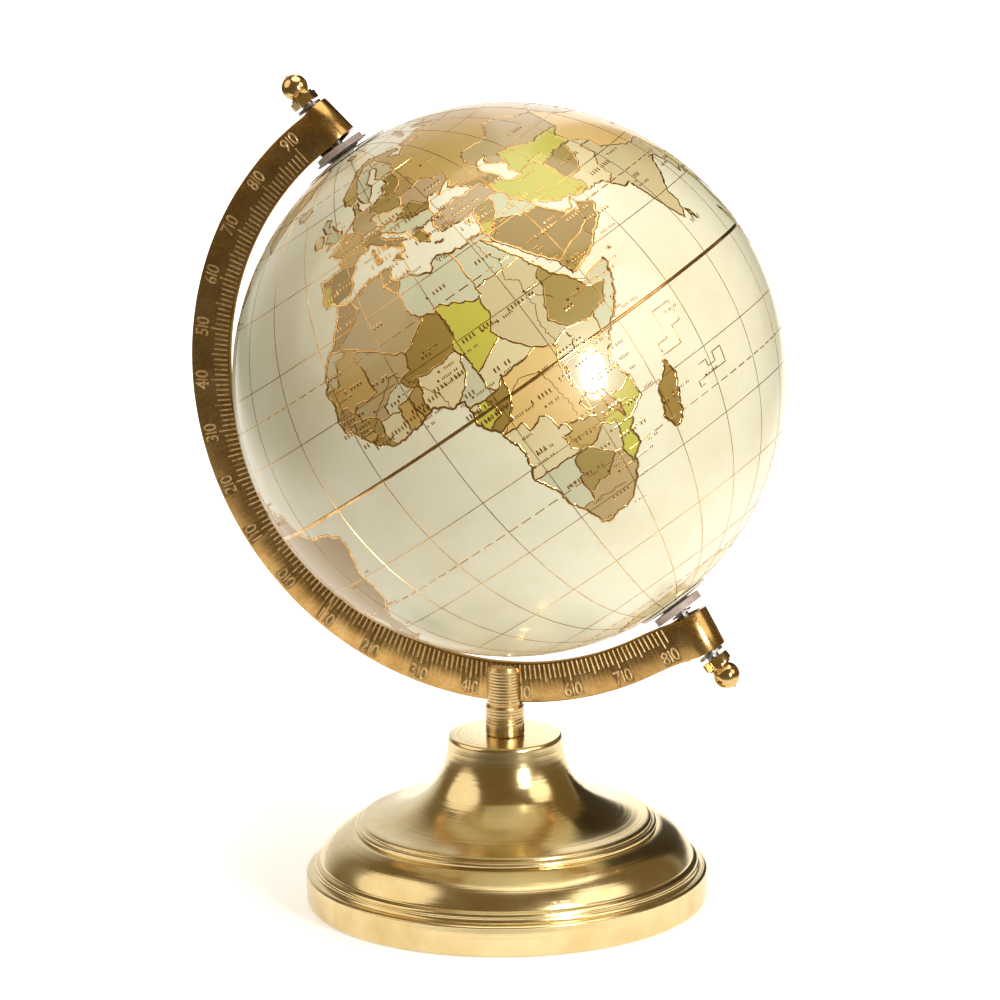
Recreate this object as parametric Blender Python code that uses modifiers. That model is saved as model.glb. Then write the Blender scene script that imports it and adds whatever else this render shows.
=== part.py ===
"""Desktop globe on stand: a 127 mm ball on a tilted axle, held by a graduated half meridian
that slides through a slotted post on a turned base. Metres, +Z up, origin on the resting face."""

import math

import bmesh
import bpy
from mathutils import Matrix, Vector

MM = 0.001

# ---- sizes that stand alone, in millimetres ----
BALL_RADIUS = 63.9
SHELL_WALL = 1.2
BALL_SLIP = 0.6
AXLE_TILT = 38.25
AXLE_RADIUS = 1.5
ARC_INNER_RADIUS = 66.75
ARC_WIDTH = 9.5
ARC_THICKNESS = 1.6
EYE_RADIUS = 5.1
EYE_SKEW = 8.5
EYE_WRAP = 300.0
EYE_LEAD = 9.0
SOUTH_EYE_RISE = 1.8
POST_RADIUS = 4.5
CHEEK_RADIUS = 4.15
CHEEK_CHAMFER = 1.1
STUD_RADIUS = 2.5
BASE_RADIUS = 46.8
BASE_HEIGHT = 39.8
STRIP_ABOVE_BASE = 7.95
BAND_HEIGHT = 7.6
NECK_RADIUS = 13.3
BOSS_THICKNESS = 6.0
FELT_THICKNESS = 1.7
FINIAL_BALL_RADIUS = 3.1
NORTH_FINIAL_STAND = 6.25
SOUTH_FINIAL_STAND = 6.55
NORTH_DISC_RADIUS = 10.7
SOUTH_DISC_RADIUS = 8.9
DISC_THICKNESS = 0.35
NORTH_BUSH_RADIUS = 5.4
SOUTH_BUSH_RADIUS = 5.7
LIP_RADIUS = 6.5
SPIGOT_RADIUS = 3.4
WASHER_RADIUS = 3.7
WASHER_THICKNESS = 0.8
SPACER_RADIUS = 2.6
SPACER_THICKNESS = 0.4
RING_WIDTH = 9.0
RING_WALL = 1.4
NUT_ACROSS_FLATS = 8.0
SET_SCREW_RADIUS = 1.3

# ---- clearances ----
FIT = 0.12
GAP = 0.3
SLOT_GAP = 0.15
THREAD_GAP = 0.1
DISC_GAP = 0.2
THRUST_GAP = 0.1
END_GAP = 0.6

# ---- sizes that follow ----
ARC_OUTER_RADIUS = ARC_INNER_RADIUS + ARC_WIDTH
ARC_MID_RADIUS = ARC_INNER_RADIUS + ARC_WIDTH / 2
ARC_CENTRE_Z = BASE_HEIGHT + STRIP_ABOVE_BASE + ARC_OUTER_RADIUS
AXLE_OFFSET = EYE_RADIUS - ARC_THICKNESS / 2 + 0.25
SKEW = math.radians(EYE_SKEW)
EYE_HALF = ARC_WIDTH / 2 * math.cos(SKEW)
EYE_OUTER_END = ARC_MID_RADIUS + EYE_HALF + WASHER_RADIUS * math.sin(SKEW)
NORTH_FINIAL_CENTRE = EYE_OUTER_END + NORTH_FINIAL_STAND
SOUTH_FINIAL_CENTRE = EYE_OUTER_END + SOUTH_EYE_RISE + SOUTH_FINIAL_STAND
EYE_INNER_END = ARC_MID_RADIUS - EYE_HALF - EYE_RADIUS * math.sin(SKEW)
DISC_TOP = BALL_RADIUS + DISC_GAP + DISC_THICKNESS
BUSH_LOW = DISC_TOP + 0.15
NORTH_BUSH_TOP = EYE_INNER_END - END_GAP
SOUTH_BUSH_TOP = EYE_INNER_END + SOUTH_EYE_RISE - BALL_SLIP - END_GAP
SLOT_FLOOR_Z = ARC_CENTRE_Z - ARC_OUTER_RADIUS - GAP
POST_TOP_Z = ARC_CENTRE_Z - ARC_INNER_RADIUS - 0.6
BOSS_UNDER_Z = BASE_HEIGHT - BOSS_THICKNESS

TILT = math.radians(AXLE_TILT)
POLE = Vector((-math.sin(TILT), 0.0, math.cos(TILT)))
ARC_CENTRE = Vector((0.0, 0.0, ARC_CENTRE_Z)) * MM
AXLE_CENTRE = Vector((0.0, AXLE_OFFSET, ARC_CENTRE_Z)) * MM
BALL_CENTRE = AXLE_CENTRE - POLE * BALL_SLIP * MM


def clear_scene():
    for old in list(bpy.data.objects):
        bpy.data.objects.remove(old, do_unlink=True)


def new_collection(name, hidden=False):
    made = bpy.data.collections.new(name)
    bpy.context.scene.collection.children.link(made)
    made.hide_render = hidden
    return made


clear_scene()
PARTS = new_collection("desktop_globe")
CUTTERS = new_collection("cutters", hidden=True)


def material(name, colour, metallic, roughness):
    made = bpy.data.materials.new(name)
    made.use_nodes = True
    shader = made.node_tree.nodes["Principled BSDF"]
    shader.inputs["Base Color"].default_value = (*colour, 1.0)
    shader.inputs["Metallic"].default_value = metallic
    shader.inputs["Roughness"].default_value = roughness
    made.diffuse_color = (*colour, 1.0)
    return made


BASE_METAL = material("base_metal", (0.72, 0.52, 0.22), 1.0, 0.22)
POST_METAL = material("post_metal", (0.74, 0.55, 0.26), 1.0, 0.25)
ARC_METAL = material("arc_metal", (0.62, 0.44, 0.20), 1.0, 0.30)
FINIAL_METAL = material("finial_metal", (0.76, 0.58, 0.26), 1.0, 0.18)
STEEL = material("steel", (0.55, 0.55, 0.56), 1.0, 0.30)
GREY_PLASTIC = material("grey_plastic", (0.50, 0.46, 0.47), 0.0, 0.45)
DISC_PLASTIC = material("disc_plastic", (0.70, 0.70, 0.72), 0.0, 0.20)
MAP_PAPER = material("map_paper", (0.80, 0.77, 0.58), 0.0, 0.25)
RING_CARD = material("ring_card", (0.62, 0.53, 0.40), 0.0, 0.80)
FELT = material("felt", (0.05, 0.16, 0.09), 0.0, 0.95)


def add_object(name, bm, paint, matrix=None, collection=None):
    mesh = bpy.data.meshes.new(name)
    bm.to_mesh(mesh)
    bm.free()
    obj = bpy.data.objects.new(name, mesh)
    (collection or PARTS).objects.link(obj)
    if matrix is not None:
        obj.matrix_world = matrix
    if paint is not None:
        mesh.materials.append(paint)
    return obj


def shade(obj, angle=35.0):
    for polygon in obj.data.polygons:
        polygon.use_smooth = True
    obj.data.set_sharp_from_angle(angle=math.radians(angle))


def lathe(name, profile, paint, steps, matrix=None, closed=False, collection=None):
    """Turns a profile of (radius, height) points in mm about local Z with a Screw modifier."""
    bm = bmesh.new()
    points = [bm.verts.new((r * MM, 0.0, z * MM)) for r, z in profile]
    for first, second in zip(points, points[1:]):
        bm.edges.new((first, second))
    if closed:
        bm.edges.new((points[-1], points[0]))
    obj = add_object(name, bm, paint, matrix, collection)
    screw = obj.modifiers.new("turn", "SCREW")
    screw.axis = "Z"
    screw.steps = steps
    screw.render_steps = steps
    screw.use_merge_vertices = True
    screw.merge_threshold = 0.00001
    screw.use_normal_calculate = False
    screw.use_smooth_shade = True
    return obj


def box_cutter(name, low, high):
    bm = bmesh.new()
    bmesh.ops.create_cube(bm, size=1.0)
    low, high = Vector(low) * MM, Vector(high) * MM
    for vert in bm.verts:
        vert.co = [low[i] + (vert.co[i] + 0.5) * (high[i] - low[i]) for i in range(3)]
    return as_cutter(add_object(name, bm, None, collection=CUTTERS))


def rod_cutter(name, radius, length, matrix, segments=32):
    bm = bmesh.new()
    bmesh.ops.create_cone(
        bm, cap_ends=True, segments=segments,
        radius1=radius * MM, radius2=radius * MM, depth=length * MM,
    )
    return as_cutter(add_object(name, bm, None, matrix, CUTTERS))


def as_cutter(obj):
    obj.hide_render = True
    obj.display_type = "WIRE"
    return obj


def cut(obj, cutter):
    boolean = obj.modifiers.new("cut " + cutter.name, "BOOLEAN")
    boolean.operation = "DIFFERENCE"
    boolean.solver = "EXACT"
    boolean.object = cutter


def pole_matrix(sign, centre=BALL_CENTRE):
    """A frame on the axle whose Z runs out along the north (+1) or south (-1) pole."""
    out = POLE * sign
    turn = out.to_track_quat("Z", "Y").to_matrix().to_4x4()
    return Matrix.Translation(centre) @ turn


def arc_points(radius, first, last, count, flip=1.0):
    """(r, z) points on a circle about the origin, by angle from the pole in degrees."""
    found = []
    for i in range(count + 1):
        angle = math.radians(first + (last - first) * i / count)
        found.append((radius * math.sin(angle), flip * radius * math.cos(angle)))
    return found


# ---- base, felt, post and its fastening ----
def base_profile():
    """Outer side from the neck's flat top down the flare, the beads, the dome and the band."""
    k = (BASE_RADIUS - 2.3) / 44.7
    s = (BASE_HEIGHT - BAND_HEIGHT) / 32.2

    def at(r, z):
        return (NECK_RADIUS + (r - 13.3) * (44.7 * k - NECK_RADIUS) / 31.4,
                BAND_HEIGHT + (z - 7.6) * s)

    flare = [(13.45, 37.5), (13.8, 35.0), (14.5, 32.5), (15.6, 30.0), (17.2, 27.6),
             (19.4, 25.4), (22.2, 23.4), (25.6, 21.8), (29.4, 20.6), (33.3, 19.8)]
    beads = [(33.9, 19.3), (33.9, 18.9), (34.9, 18.7), (35.2, 18.2), (34.9, 17.6)]
    dome = [(36.4, 17.3), (38.4, 16.3), (40.4, 14.9), (42.1, 13.0), (43.3, 11.0), (43.6, 10.2)]
    cord = [(43.9, 10.0), (44.6, 9.6), (44.8, 9.0), (44.7, 8.3)]
    band = [(BASE_RADIUS - 0.5, BAND_HEIGHT), (BASE_RADIUS, BAND_HEIGHT - 0.5),
            (BASE_RADIUS, 0.7), (BASE_RADIUS - 0.4, 0.3)]
    top = [(NECK_RADIUS - 0.7, BASE_HEIGHT), (NECK_RADIUS - 0.2, BASE_HEIGHT - 0.2),
           (NECK_RADIUS, BASE_HEIGHT - 0.7)]
    return top + [at(r, z) for r, z in flare + beads + dome + cord] + band


def make_base():
    hole = STUD_RADIUS + 0.2
    inner_rim = BASE_RADIUS - 1.4
    under = [
        (inner_rim, 0.3), (inner_rim, FELT_THICKNESS + GAP), (BASE_RADIUS - 3.4, FELT_THICKNESS + GAP),
        (BASE_RADIUS - 3.6, BAND_HEIGHT - 2.2), (BASE_RADIUS - 6.6, BAND_HEIGHT + 2.4),
        (BASE_RADIUS - 13.5, BAND_HEIGHT + 7.6), (BASE_RADIUS - 22.5, BAND_HEIGHT + 10.4),
        (NECK_RADIUS + 2.3, BAND_HEIGHT + 14.6), (NECK_RADIUS - 1.2, BOSS_UNDER_Z - 4.6),
        (NECK_RADIUS - 3.4, BOSS_UNDER_Z), (hole, BOSS_UNDER_Z), (hole, BASE_HEIGHT),
    ]
    return lathe("base_shell", base_profile() + under, BASE_METAL, 48, closed=True)


def make_felt():
    r = BASE_RADIUS - 1.4 - GAP
    return lathe("base_felt", [(0, FELT_THICKNESS), (r, FELT_THICKNESS), (r, 0), (0, 0)], FELT, 48)


def make_post():
    """Turned post: a threaded stud below, a shoulder on the base, two cheeks around the strip."""
    foot = BASE_HEIGHT + 0.1
    tip = BOSS_UNDER_Z - 6.8
    c = CHEEK_CHAMFER
    profile = [
        (0, POST_TOP_Z), (CHEEK_RADIUS - c, POST_TOP_Z), (CHEEK_RADIUS - 0.35 * c, POST_TOP_Z - 0.35 * c),
        (CHEEK_RADIUS, POST_TOP_Z - c), (CHEEK_RADIUS, SLOT_FLOOR_Z + 0.1),
        (CHEEK_RADIUS - 0.2, SLOT_FLOOR_Z - 0.1), (CHEEK_RADIUS - 0.2, SLOT_FLOOR_Z - 0.35),
        (POST_RADIUS, SLOT_FLOOR_Z - 0.6), (POST_RADIUS, foot + 0.2), (POST_RADIUS - 0.2, foot),
        (STUD_RADIUS, foot), (STUD_RADIUS, tip + 0.6), (STUD_RADIUS - 0.6, tip), (0, tip),
    ]
    post = lathe("post", profile, POST_METAL, 40)
    half = ARC_THICKNESS / 2 + SLOT_GAP
    slot = box_cutter("post_slot", (-12, -half, SLOT_FLOOR_Z), (12, half, POST_TOP_Z + 4))
    cut(post, slot)
    z = ARC_CENTRE_Z - ARC_MID_RADIUS
    turn = Matrix.Rotation(math.radians(-90), 4, "X")
    where = Matrix.Translation(Vector((0, 5.0, z)) * MM) @ turn
    cut(post, rod_cutter("post_screw_hole", SET_SCREW_RADIUS + THREAD_GAP, 9.4, where, 24))
    return post


def make_set_screw():
    """Slotted grub screw in the rear cheek; its tip bears on the strip's back."""
    z = ARC_CENTRE_Z - ARC_MID_RADIUS
    tip = ARC_THICKNESS / 2 + SLOT_GAP + 0.05
    head = CHEEK_RADIUS - 0.1
    r = SET_SCREW_RADIUS
    turn = Matrix.Rotation(math.radians(-90), 4, "X")
    where = Matrix.Translation(Vector((0, 0, z)) * MM) @ turn
    profile = [(0, head), (r - 0.2, head), (r, head - 0.2), (r, tip + 0.4), (r - 0.4, tip), (0, tip)]
    screw = lathe("arc_set_screw", profile, STEEL, 24, where)
    cut(screw, box_cutter("screw_slot", (-3, head - 0.7, z - 0.2), (3, head + 1, z + 0.2)))
    return screw


def make_post_washer():
    top = BOSS_UNDER_Z - 0.12
    hole = STUD_RADIUS + 0.25
    profile = [(hole, top), (5.6, top), (5.6, top - 1.0), (hole, top - 1.0)]
    return lathe("post_washer", profile, STEEL, 32, closed=True)


def make_post_nut():
    top = BOSS_UNDER_Z - 0.12 - 1.0 - 0.12
    depth = 3.8
    bm = bmesh.new()
    corner = NUT_ACROSS_FLATS / math.sqrt(3) * MM
    bmesh.ops.create_cone(bm, cap_ends=True, segments=6, radius1=corner, radius2=corner, depth=depth * MM)
    where = Matrix.Translation(Vector((0, 0, top - depth / 2)) * MM)
    nut = add_object("post_nut", bm, STEEL, where)
    cut(nut, rod_cutter("nut_hole", STUD_RADIUS + THREAD_GAP, depth + 4, where, 24))
    return nut


# ---- the half meridian: one flat strip, its two ends rolled back into eyes ----
def turned(direction, angle):
    """A direction in the strip's plane, turned towards larger angles from +X."""
    c, n = math.cos(angle), math.sin(angle)
    return Vector((direction.x * c - direction.z * n, 0, direction.x * n + direction.z * c))


def station(middle, across, thick):
    """Four corners of the strip's section: across its width, thick along its front-to-back normal."""
    half = across * ARC_WIDTH / 2
    front, back = thick
    return [middle - half + front, middle + half + front, middle + half + back, middle - half + back]


def flat_station(middle, across):
    offset = Vector((0, ARC_THICKNESS / 2, 0))
    return station(middle, across, (-offset, offset))


def eye_station(middle, across, ahead, wrap):
    """The strip after it has wrapped by an angle about the eye's own axis, behind the strip."""
    skins = []
    for radius in (EYE_RADIUS, EYE_RADIUS - ARC_THICKNESS):
        back = -ARC_THICKNESS / 2 + EYE_RADIUS - radius * math.cos(wrap)
        skins.append(ahead * (radius * math.sin(wrap)) + Vector((0, back, 0)))
    return station(middle, across, skins)


def end_stations(pole, side, rise):
    """From the plain arc to one eye's free edge. side is +1 where the arc comes from larger angles."""
    found = []
    for i in range(1, 5):
        share = i / 4
        reach = ARC_MID_RADIUS + rise * share * share
        middle = turned(pole, side * math.radians(EYE_LEAD) * (1 - share)) * reach
        lean = side * (math.radians(EYE_LEAD) * (1 - share) + SKEW * share * share)
        found.append(flat_station(middle, turned(pole, lean)))
    across = turned(pole, side * SKEW)
    ahead = turned(across, -side * math.pi / 2)
    for i in range(1, 19):
        wrap = math.radians(EYE_WRAP) * i / 18
        found.append(eye_station(pole * (ARC_MID_RADIUS + rise), across, ahead, wrap))
    return found


def make_arc():
    """One loft of four-cornered sections, from the north eye's free edge to the south eye's."""
    first = math.radians(EYE_LEAD)
    plain = []
    for i in range(81):
        across = turned(POLE, first + (math.pi - 2 * first) * i / 80)
        plain.append(flat_station(across * ARC_MID_RADIUS, across))
    north, south = end_stations(POLE, 1, 0.0), end_stations(-POLE, -1, SOUTH_EYE_RISE)
    stations = north[::-1] + plain + south
    bm = bmesh.new()
    rows = [[bm.verts.new(p * MM + ARC_CENTRE) for p in corners] for corners in stations]
    for row, following in zip(rows, rows[1:]):
        for k in range(4):
            m = (k + 1) % 4
            bm.faces.new((row[k], following[k], following[m], row[m]))
    bm.faces.new(rows[0])
    bm.faces.new(list(reversed(rows[-1])))
    bmesh.ops.recalc_face_normals(bm, faces=bm.faces)
    arc = add_object("meridian_arc", bm, ARC_METAL)
    shade(arc, 30.0)
    return arc


# ---- pieces on the pole axle ----
def make_axle():
    top = NORTH_FINIAL_CENTRE - 1.2
    low = -(SOUTH_FINIAL_CENTRE - 1.2)
    r = AXLE_RADIUS
    profile = [(0, top), (r - 0.3, top), (r, top - 0.3), (r, low + 0.3), (r - 0.3, low), (0, low)]
    return lathe("axle_rod", profile, STEEL, 24, pole_matrix(1, AXLE_CENTRE))


def make_finial(name, sign, centre):
    """Ball-ended nut: six flats, a collar and a ball with a small nib, blind-drilled for the axle."""
    seat = centre - 4.9
    hexagon = 2.9
    ball = FINIAL_BALL_RADIUS
    start = math.degrees(math.asin(2.45 / ball))
    rings = [(AXLE_RADIUS + THREAD_GAP, seat, 0), (hexagon - 0.15, seat, 1), (hexagon, seat + 0.15, 1),
             (hexagon, seat + 1.95, 1), (hexagon - 0.15, seat + 2.1, 1), (2.45, seat + 2.1, 0)]
    for i in range(9):
        angle = math.radians(180 - start - (180 - start - 9) * i / 8)
        rings.append((ball * math.sin(angle), centre + ball * math.cos(angle), 0))
    rings.append((0.32, centre + ball + 0.3, 0))
    bm = bmesh.new()
    rows = []
    for radius, height, flats in rings:
        row = []
        for k in range(24):
            angle = math.radians(15 * k)
            spread = math.radians((15 * k) % 60 - 30)
            reach = radius / math.cos(spread) if flats else radius
            row.append(bm.verts.new((reach * math.cos(angle) * MM, reach * math.sin(angle) * MM, height * MM)))
        rows.append(row)
    floor = centre - 0.9
    rows.insert(0, [bm.verts.new((v.co.x, v.co.y, floor * MM)) for v in rows[0]])
    for row, following in zip(rows, rows[1:]):
        for k in range(24):
            m = (k + 1) % 24
            bm.faces.new((row[k], row[m], following[m], following[k]))
    bm.faces.new(rows[0])
    bm.faces.new(list(reversed(rows[-1])))
    bmesh.ops.recalc_face_normals(bm, faces=bm.faces)
    finial = add_object(name, bm, FINIAL_METAL, pole_matrix(sign, AXLE_CENTRE))
    shade(finial)
    return finial


def make_washer(name, sign, low, thickness, radius):
    hole = AXLE_RADIUS + 0.2
    profile = [(hole, low + thickness), (radius, low + thickness), (radius, low), (hole, low)]
    return lathe(name, profile, STEEL, 28, pole_matrix(sign, AXLE_CENTRE), closed=True)


def make_bush(name, sign, radius, top):
    """Grey turning bush: a drum outside the ball, a thin lip, and a spigot through its pole."""
    low = BUSH_LOW
    foot = BALL_RADIUS - SHELL_WALL - 3.2
    bore = AXLE_RADIUS + FIT
    lip = max(LIP_RADIUS, radius + 0.3)
    profile = [
        (bore, top), (radius - 0.3, top), (radius, top - 0.3), (radius, low + 0.4),
        (lip, low + 0.25), (lip, low), (SPIGOT_RADIUS, low), (SPIGOT_RADIUS, foot), (bore, foot),
    ]
    return lathe(name, profile, GREY_PLASTIC, 32, pole_matrix(sign), closed=True)


def make_disc(name, sign, radius):
    """Thin hour disc, dished to follow the ball."""
    inside = BALL_RADIUS + DISC_GAP
    outside = inside + DISC_THICKNESS
    hole = SPIGOT_RADIUS + 0.15
    first, last = math.degrees(math.asin(hole / inside)), math.degrees(math.asin(radius / inside))
    profile = arc_points(outside, first, last, 3) + arc_points(inside, last, first, 3)
    return lathe(name, profile, DISC_PLASTIC, 36, pole_matrix(sign), closed=True)


def make_hemisphere(name, sign):
    hole = SPIGOT_RADIUS + 0.15
    first = math.degrees(math.asin(hole / BALL_RADIUS))
    inner = BALL_RADIUS - SHELL_WALL
    edge = math.degrees(math.acos(0.15 / BALL_RADIUS))
    inner_first = math.degrees(math.asin(hole / inner))
    profile = arc_points(BALL_RADIUS, first, edge, 12) + arc_points(inner, edge, inner_first, 6)
    return lathe(name, profile, MAP_PAPER, 48, pole_matrix(sign), closed=True)


def make_ring():
    outer = math.sqrt((BALL_RADIUS - SHELL_WALL) ** 2 - (RING_WIDTH / 2) ** 2) - 0.45
    h = RING_WIDTH / 2
    profile = [(outer, h), (outer, -h), (outer - RING_WALL, -h), (outer - RING_WALL, h)]
    return lathe("equator_ring", profile, RING_CARD, 48, pole_matrix(1), closed=True)


def build():
    make_base()
    make_felt()
    make_post()
    make_post_washer()
    make_post_nut()
    make_set_screw()
    make_arc()
    make_axle()
    slip, rise = BALL_SLIP, SOUTH_EYE_RISE
    sides = (
        ("north", 1, 0.0, NORTH_BUSH_RADIUS, NORTH_BUSH_TOP, -slip, NORTH_DISC_RADIUS, NORTH_FINIAL_CENTRE),
        ("south", -1, rise, SOUTH_BUSH_RADIUS, SOUTH_BUSH_TOP, slip, SOUTH_DISC_RADIUS, SOUTH_FINIAL_CENTRE),
    )
    for side, sign, lift, bush, bush_top, shift, disc, finial in sides:
        washer = EYE_OUTER_END + lift + THRUST_GAP
        spacer = bush_top + shift + THRUST_GAP
        make_finial(side + "_finial", sign, finial)
        make_washer(side + "_washer", sign, washer, WASHER_THICKNESS, WASHER_RADIUS)
        make_washer(side + "_spacer", sign, spacer, SPACER_THICKNESS, SPACER_RADIUS)
        make_bush(side + "_bush", sign, bush, bush_top)
        make_disc(side + "_hour_disc", sign, disc)
        make_hemisphere(side + "_hemisphere", sign)
    make_ring()


build()
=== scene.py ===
# %% [markdown]
# # Desktop globe on a stand
# A 5 inch globe hangs in a flat brass strip that is bent to a half circle and stamped with degrees.
# The strip slides in a slotted post on a turned brass base. The solids and their joints come from the
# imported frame. This file gives each visible piece its fine shape and its finish.

# %% Frame and libraries
import math
import bpy
import numpy as np
from mathutils import Matrix, Vector
from mathutils.geometry import delaunay_2d_cdt


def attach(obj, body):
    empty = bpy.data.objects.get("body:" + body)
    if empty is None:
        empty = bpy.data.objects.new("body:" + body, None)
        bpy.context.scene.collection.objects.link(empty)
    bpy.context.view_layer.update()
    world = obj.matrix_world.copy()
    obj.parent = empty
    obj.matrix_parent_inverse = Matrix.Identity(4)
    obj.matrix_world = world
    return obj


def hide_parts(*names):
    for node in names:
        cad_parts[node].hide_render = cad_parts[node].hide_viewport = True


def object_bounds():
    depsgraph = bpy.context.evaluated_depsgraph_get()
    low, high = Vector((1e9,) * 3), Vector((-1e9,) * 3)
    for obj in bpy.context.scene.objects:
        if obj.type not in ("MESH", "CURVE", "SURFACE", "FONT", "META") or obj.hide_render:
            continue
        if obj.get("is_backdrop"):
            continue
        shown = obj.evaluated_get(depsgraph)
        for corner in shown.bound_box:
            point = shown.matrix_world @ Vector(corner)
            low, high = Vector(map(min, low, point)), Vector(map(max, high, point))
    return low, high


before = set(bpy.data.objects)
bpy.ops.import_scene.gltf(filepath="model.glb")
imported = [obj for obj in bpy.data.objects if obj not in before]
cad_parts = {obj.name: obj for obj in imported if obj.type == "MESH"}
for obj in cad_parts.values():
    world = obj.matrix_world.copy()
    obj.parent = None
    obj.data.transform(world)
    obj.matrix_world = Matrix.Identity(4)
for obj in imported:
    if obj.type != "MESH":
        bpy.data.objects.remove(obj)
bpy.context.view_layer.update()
MM = 0.001

# %% [markdown]
# The few sizes that every piece shares: the axle leans 38.25 degrees, the strip lies in the plane
# y = 0 and the ball sits a little behind it, because the axle passes through the two rolled eyes.

# %% Shared sizes, in millimetres
BALL_R = 63.9
AXLE_TILT = math.radians(38.25)
POLE = np.array([-math.sin(AXLE_TILT), 0.0, math.cos(AXLE_TILT)])
ARC_CENTRE = np.array([0.0, 0.0, 124.0])
AXLE_CENTRE = np.array([0.0, 4.55, 124.0])
BALL_CENTRE = AXLE_CENTRE - 0.6 * POLE
STRIP_MID, STRIP_WIDTH, STRIP_THICK = 71.5, 9.5, 1.6
print("ball diameter", 2 * BALL_R, "mm, strip", STRIP_WIDTH, "x", STRIP_THICK, "mm")

# %% [markdown]
# Two helpers make every mesh. The first puts arrays of points and faces into a new object whose origin
# stays at the world's origin. The second closes a grid of points into a skin: rows run along a path,
# columns run round a closed profile.

# %% Mesh helpers
def add_mesh(name, points, faces, paint=None, sharp=None):
    """A new object from an (n, 3) array in millimetres and a list or array of faces."""
    mesh = bpy.data.meshes.new(name)
    mesh.from_pydata((np.asarray(points) * MM).tolist(), [], [tuple(map(int, f)) for f in faces])
    mesh.update()
    obj = bpy.data.objects.new(name, mesh)
    bpy.context.scene.collection.objects.link(obj)
    mesh.polygons.foreach_set("use_smooth", [True] * len(mesh.polygons))
    if sharp is not None:
        mesh.set_sharp_from_angle(angle=math.radians(sharp))
    if paint is not None:
        mesh.materials.append(paint)
    return obj


def grid_faces(rows, columns, wrap_rows=False, wrap_columns=True, first=0):
    """Quads of a grid whose point (i, j) has index first + i * columns + j."""
    i = np.arange(rows if wrap_rows else rows - 1)[:, None]
    j = np.arange(columns if wrap_columns else columns - 1)[None, :]
    k, m = (i + 1) % rows, (j + 1) % columns
    quads = np.stack([i * columns + j, i * columns + m, k * columns + m, k * columns + j], -1)
    return first + quads.reshape(-1, 4)


BOX_FACES = np.array([(0, 3, 2, 1), (4, 5, 6, 7), (0, 1, 5, 4), (2, 3, 7, 6), (0, 4, 7, 3), (1, 2, 6, 5)])


def boxes_of(count):
    """The faces of this many boxes of eight points each: a floor of four, then a top of four."""
    return (BOX_FACES[None] + 8 * np.arange(count)[:, None, None]).reshape(-1, 4)


def outward(obj):
    """Turns the faces of a closed mesh so that its signed volume is positive."""
    mesh = obj.data
    mesh.calc_loop_triangles()
    co = np.empty(len(mesh.vertices) * 3)
    mesh.vertices.foreach_get("co", co)
    tri = np.empty(len(mesh.loop_triangles) * 3, int)
    mesh.loop_triangles.foreach_get("vertices", tri)
    if np.linalg.det(co.reshape(-1, 3)[tri.reshape(-1, 3)]).sum() < 0:
        mesh.flip_normals()
    return obj


def pole_axes(sign=1):
    """Columns x, y, z of a frame whose z runs out along the north (+1) or south (-1) end of the axle."""
    z = POLE * sign
    x = np.array([0.0, 1.0, 0.0])
    return np.stack([x, np.cross(z, x), z], 1)


def turn_profile(name, profile, steps, paint, axes=np.eye(3), centre=(0, 0, 0), sharp=30, ring=True):
    """A profile of (radius, height) points turned about the frame's z axis.
    Point (i, j) = centre + axes * (r_j cos a_i, r_j sin a_i, z_j), with a_i even round the circle.
    A ring's profile is a closed loop. Otherwise its two ends lie on the axis."""
    r, z = np.array(profile, float).T
    a = np.linspace(0, 2 * np.pi, steps, endpoint=False)[:, None]
    if ring:
        local = np.stack([r * np.cos(a), r * np.sin(a), z + 0 * a], -1).reshape(-1, 3)
        faces = grid_faces(steps, len(r), wrap_rows=True).tolist()
    else:
        inner = slice(1, -1)
        n = len(r) - 2
        local = np.stack([r[inner] * np.cos(a), r[inner] * np.sin(a), z[inner] + 0 * a], -1).reshape(-1, 3)
        local = np.vstack([local, [0, 0, z[0]], [0, 0, z[-1]]])
        faces = grid_faces(steps, n, wrap_rows=True, wrap_columns=False).tolist()
        i = np.arange(steps)
        k = (i + 1) % steps
        faces += np.stack([i * n, k * n, 0 * i + steps * n], 1).tolist()
        faces += np.stack([k * n + n - 1, i * n + n - 1, 0 * i + steps * n + 1], 1).tolist()
    obj = add_mesh(name, np.asarray(centre) + local @ np.asarray(axes).T, faces, paint)
    outward(obj)
    obj.data.set_sharp_from_angle(angle=math.radians(sharp))
    return obj


def rounded(profile, radius, steps=4):
    """The closed or open profile with each inner corner cut by an arc-like curve of about that radius.
    Each corner becomes a quadratic Bezier between points at that distance along its two sides."""
    p = np.array(profile, float)
    found = [p[0]]
    t = np.linspace(0, 1, steps)[:, None]
    for a, b, c in zip(p, p[1:], p[2:]):
        u, v = a - b, c - b
        lu, lv = np.linalg.norm(u), np.linalg.norm(v)
        reach = min(radius, 0.45 * lu, 0.45 * lv)
        s, e = b + u / lu * reach, b + v / lv * reach
        found += list((1 - t) ** 2 * s + 2 * t * (1 - t) * b + t ** 2 * e)
    found.append(p[-1])
    return np.array(found)


print("mesh helpers ready")

# %% [markdown]
# Finishes are built from small node graphs. Colours are written as sRGB hex, as a paint chart gives
# them, and one function turns them to the linear values that the renderer works in.

# %% Material helpers
def linear(code):
    """Linear RGBA of an sRGB hex colour: (c / 12.92) below 0.04045, else ((c + 0.055) / 1.055) ** 2.4."""
    c = np.array([int(code[i:i + 2], 16) for i in (1, 3, 5)]) / 255
    c = np.where(c <= 0.04045, c / 12.92, ((c + 0.055) / 1.055) ** 2.4)
    return (*c.tolist(), 1.0)


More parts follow.
